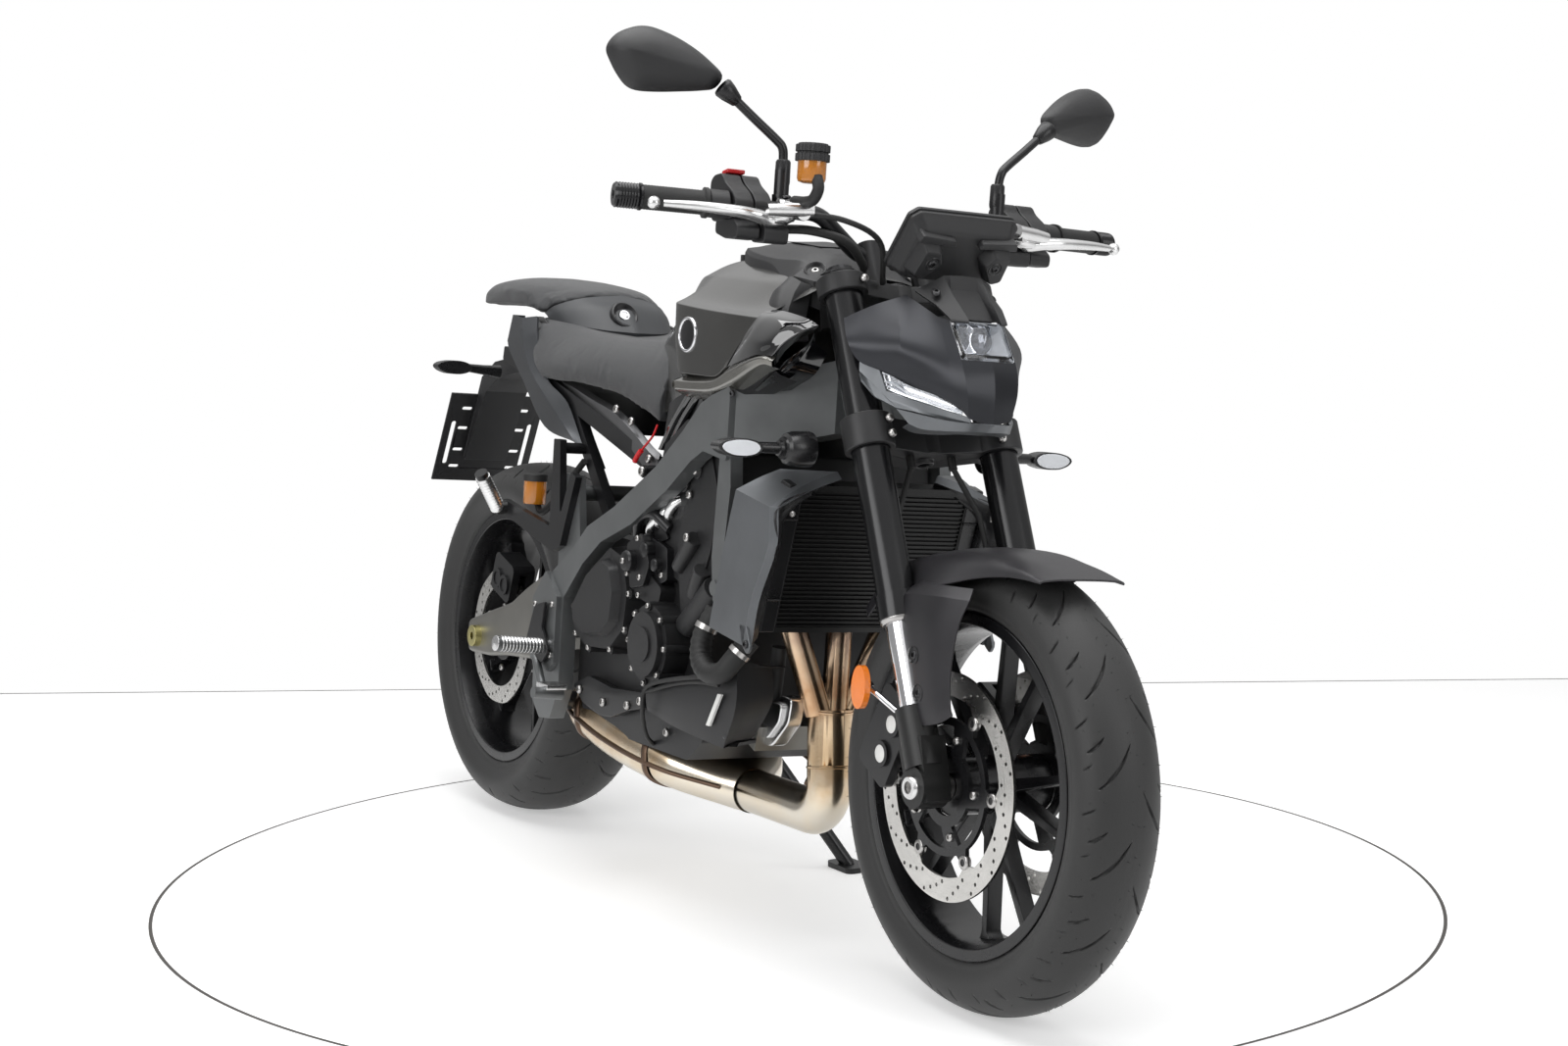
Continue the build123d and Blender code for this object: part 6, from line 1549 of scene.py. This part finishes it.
def makeWorld(values):
    # White to the camera and in reflections, softer as a light
    world = bpy.data.worlds.new("studioWorld")
    bpy.context.scene.world = world
    world.use_nodes = True
    tree = world.node_tree
    background = tree.nodes["Background"]
    background.inputs["Color"].default_value = (1, 1, 1, 1)
    path = node(tree, "ShaderNodeLightPath")
    seen = node(tree, "ShaderNodeMath",
        [(0, path.outputs["Is Glossy Ray"]), (1, path.outputs["Is Transmission Ray"])], operation="MAXIMUM")
    reflect = node(tree, "ShaderNodeMix", [("Factor", seen.outputs["Value"])])
    reflect.inputs["A"].default_value = values["worldLight"]
    split = node(tree, "ShaderNodeSeparateXYZ",
        [("Vector", node(tree, "ShaderNodeTexCoord").outputs["Generated"])])
    above = node(tree, "ShaderNodeMapRange", [("Value", split.outputs["Z"])], interpolation_type="SMOOTHSTEP",
        in_From_Min=0.12, in_From_Max=0.75, in_To_Min=values["worldSide"], in_To_Max=values["worldReflect"])
    tree.links.new(above.outputs["Result"], reflect.inputs["B"])
    final = node(tree, "ShaderNodeMix",
        [("Factor", path.outputs["Is Camera Ray"]), ("A", reflect.outputs["Result"])])
    final.inputs["B"].default_value = values["worldCamera"]
    tree.links.new(final.outputs["Result"], background.inputs["Strength"])


def makeFloor(values):
    # White paper floor: keeps the shadow, and the camera and reflections see it a little lighter
    turn = math.radians(values["yaw"] + values["wallTurn"])
    ahead = np.array([math.cos(turn), math.sin(turn), 0])
    across = np.array([-math.sin(turn), math.cos(turn), 0])
    foot = np.array([values["cameraAt"][0], values["cameraAt"][1], 0])
    far = foot + ahead * values["wallAway"]
    mesh = bpy.data.meshes.new("floor")
    mesh.from_pydata([far - across * 15, far + across * 15, far + across * 15 - ahead * 20,
        far - across * 15 - ahead * 20], [], [(0,1,2,3)])
    floor = bpy.data.objects.new("floor", mesh)
    bpy.context.scene.collection.objects.link(floor)
    material, tree, shader = newMaterial("floorPaper",
        {"Base Color": (0.80, 0.80, 0.80, 1), "Roughness": 0.55, "Emission Color": (1, 1, 1, 1)})
    path = node(tree, "ShaderNodeLightPath")
    seen = node(tree, "ShaderNodeMath",
        [(0, path.outputs["Is Camera Ray"]), (1, path.outputs["Is Glossy Ray"])], operation="MAXIMUM")
    lift = node(tree, "ShaderNodeMath", [(0, seen.outputs["Value"])], operation="MULTIPLY")
    lift.inputs[1].default_value = 0.42
    tree.links.new(lift.outputs["Value"], shader.inputs["Emission Strength"])
    mesh.materials.append(material)
    # Flat dark strips on the floor: painted shade of the corner at the floor's far edge, and painted shade in
    # the turntable's gap
    paintedShadeLines = newMaterial("paintedShadeLines", {"Base Color": (0.05, 0.045, 0.04, 1)})[0]
    angle = np.linspace(0, math.tau, 241)
    ring = np.stack([values["grooveAt"][0] + values["grooveRadius"] * np.cos(angle),
        values["grooveAt"][1] + values["grooveRadius"] * np.sin(angle), 0 * angle], 1)
    seam = np.array([far - across * 4, far + across * 4])
    for name, path, half in (("paintedSeamShade", seam, 0.004), ("paintedGrooveShade", ring, 0.0028)):
        way = np.gradient(path, axis=0)
        side = np.cross(way, [0, 0, 1.0])
        side *= half / np.linalg.norm(side, axis=1)[:, None]
        points = np.concatenate([path - side, path + side]) + [0, 0, 0.0004]
        strip = bpy.data.meshes.new(name)
        strip.from_pydata(points.tolist(), [], gridFaces(2, len(path)).tolist())
        strip.materials.append(paintedShadeLines)
        line = bpy.data.objects.new(name, strip)
        bpy.context.scene.collection.objects.link(line)


def softbox(name, at, target, size, power):
    light = bpy.data.lights.new(name, "AREA")
    light.shape, light.size, light.size_y, light.energy = "RECTANGLE", size[0], size[1], power
    lamp = bpy.data.objects.new(name, light)
    bpy.context.scene.collection.objects.link(lamp)
    lamp.location = at
    lamp.rotation_euler = (Vector(target) - Vector(at)).to_track_quat("-Z", "Y").to_euler()


def makeCamera(values):
    yaw, pitch, roll = (math.radians(values[key]) for key in ("yaw", "pitch", "roll"))
    look = Vector((math.cos(pitch) * math.cos(yaw), math.cos(pitch) * math.sin(yaw), math.sin(pitch)))
    right = look.cross(Vector((0, 0, 1))).normalized()
    above = right.cross(look)
    tiltedRight = right * math.cos(roll) + above * math.sin(roll)
    tiltedUp = above * math.cos(roll) - right * math.sin(roll)
    data = bpy.data.cameras.new("camera")
    data.lens, data.sensor_width = values["lens"], values["sensor"]
    data.clip_end = 100
    camera = bpy.data.objects.new("camera", data)
    bpy.context.scene.collection.objects.link(camera)
    turn = Matrix((tiltedRight, tiltedUp, -look)).transposed()
    camera.matrix_world = Matrix.Translation(values["cameraAt"]) @ turn.to_4x4()
    bpy.context.scene.camera = camera


makeWorld(studio)
makeFloor(studio)
for number, (at, target, size, power) in enumerate(studio["lights"]):
    softbox("light" + str(number), at, target, size, power)
makeCamera(studio)
bpy.context.scene.view_settings.view_transform = "Standard"
print("studio ready")
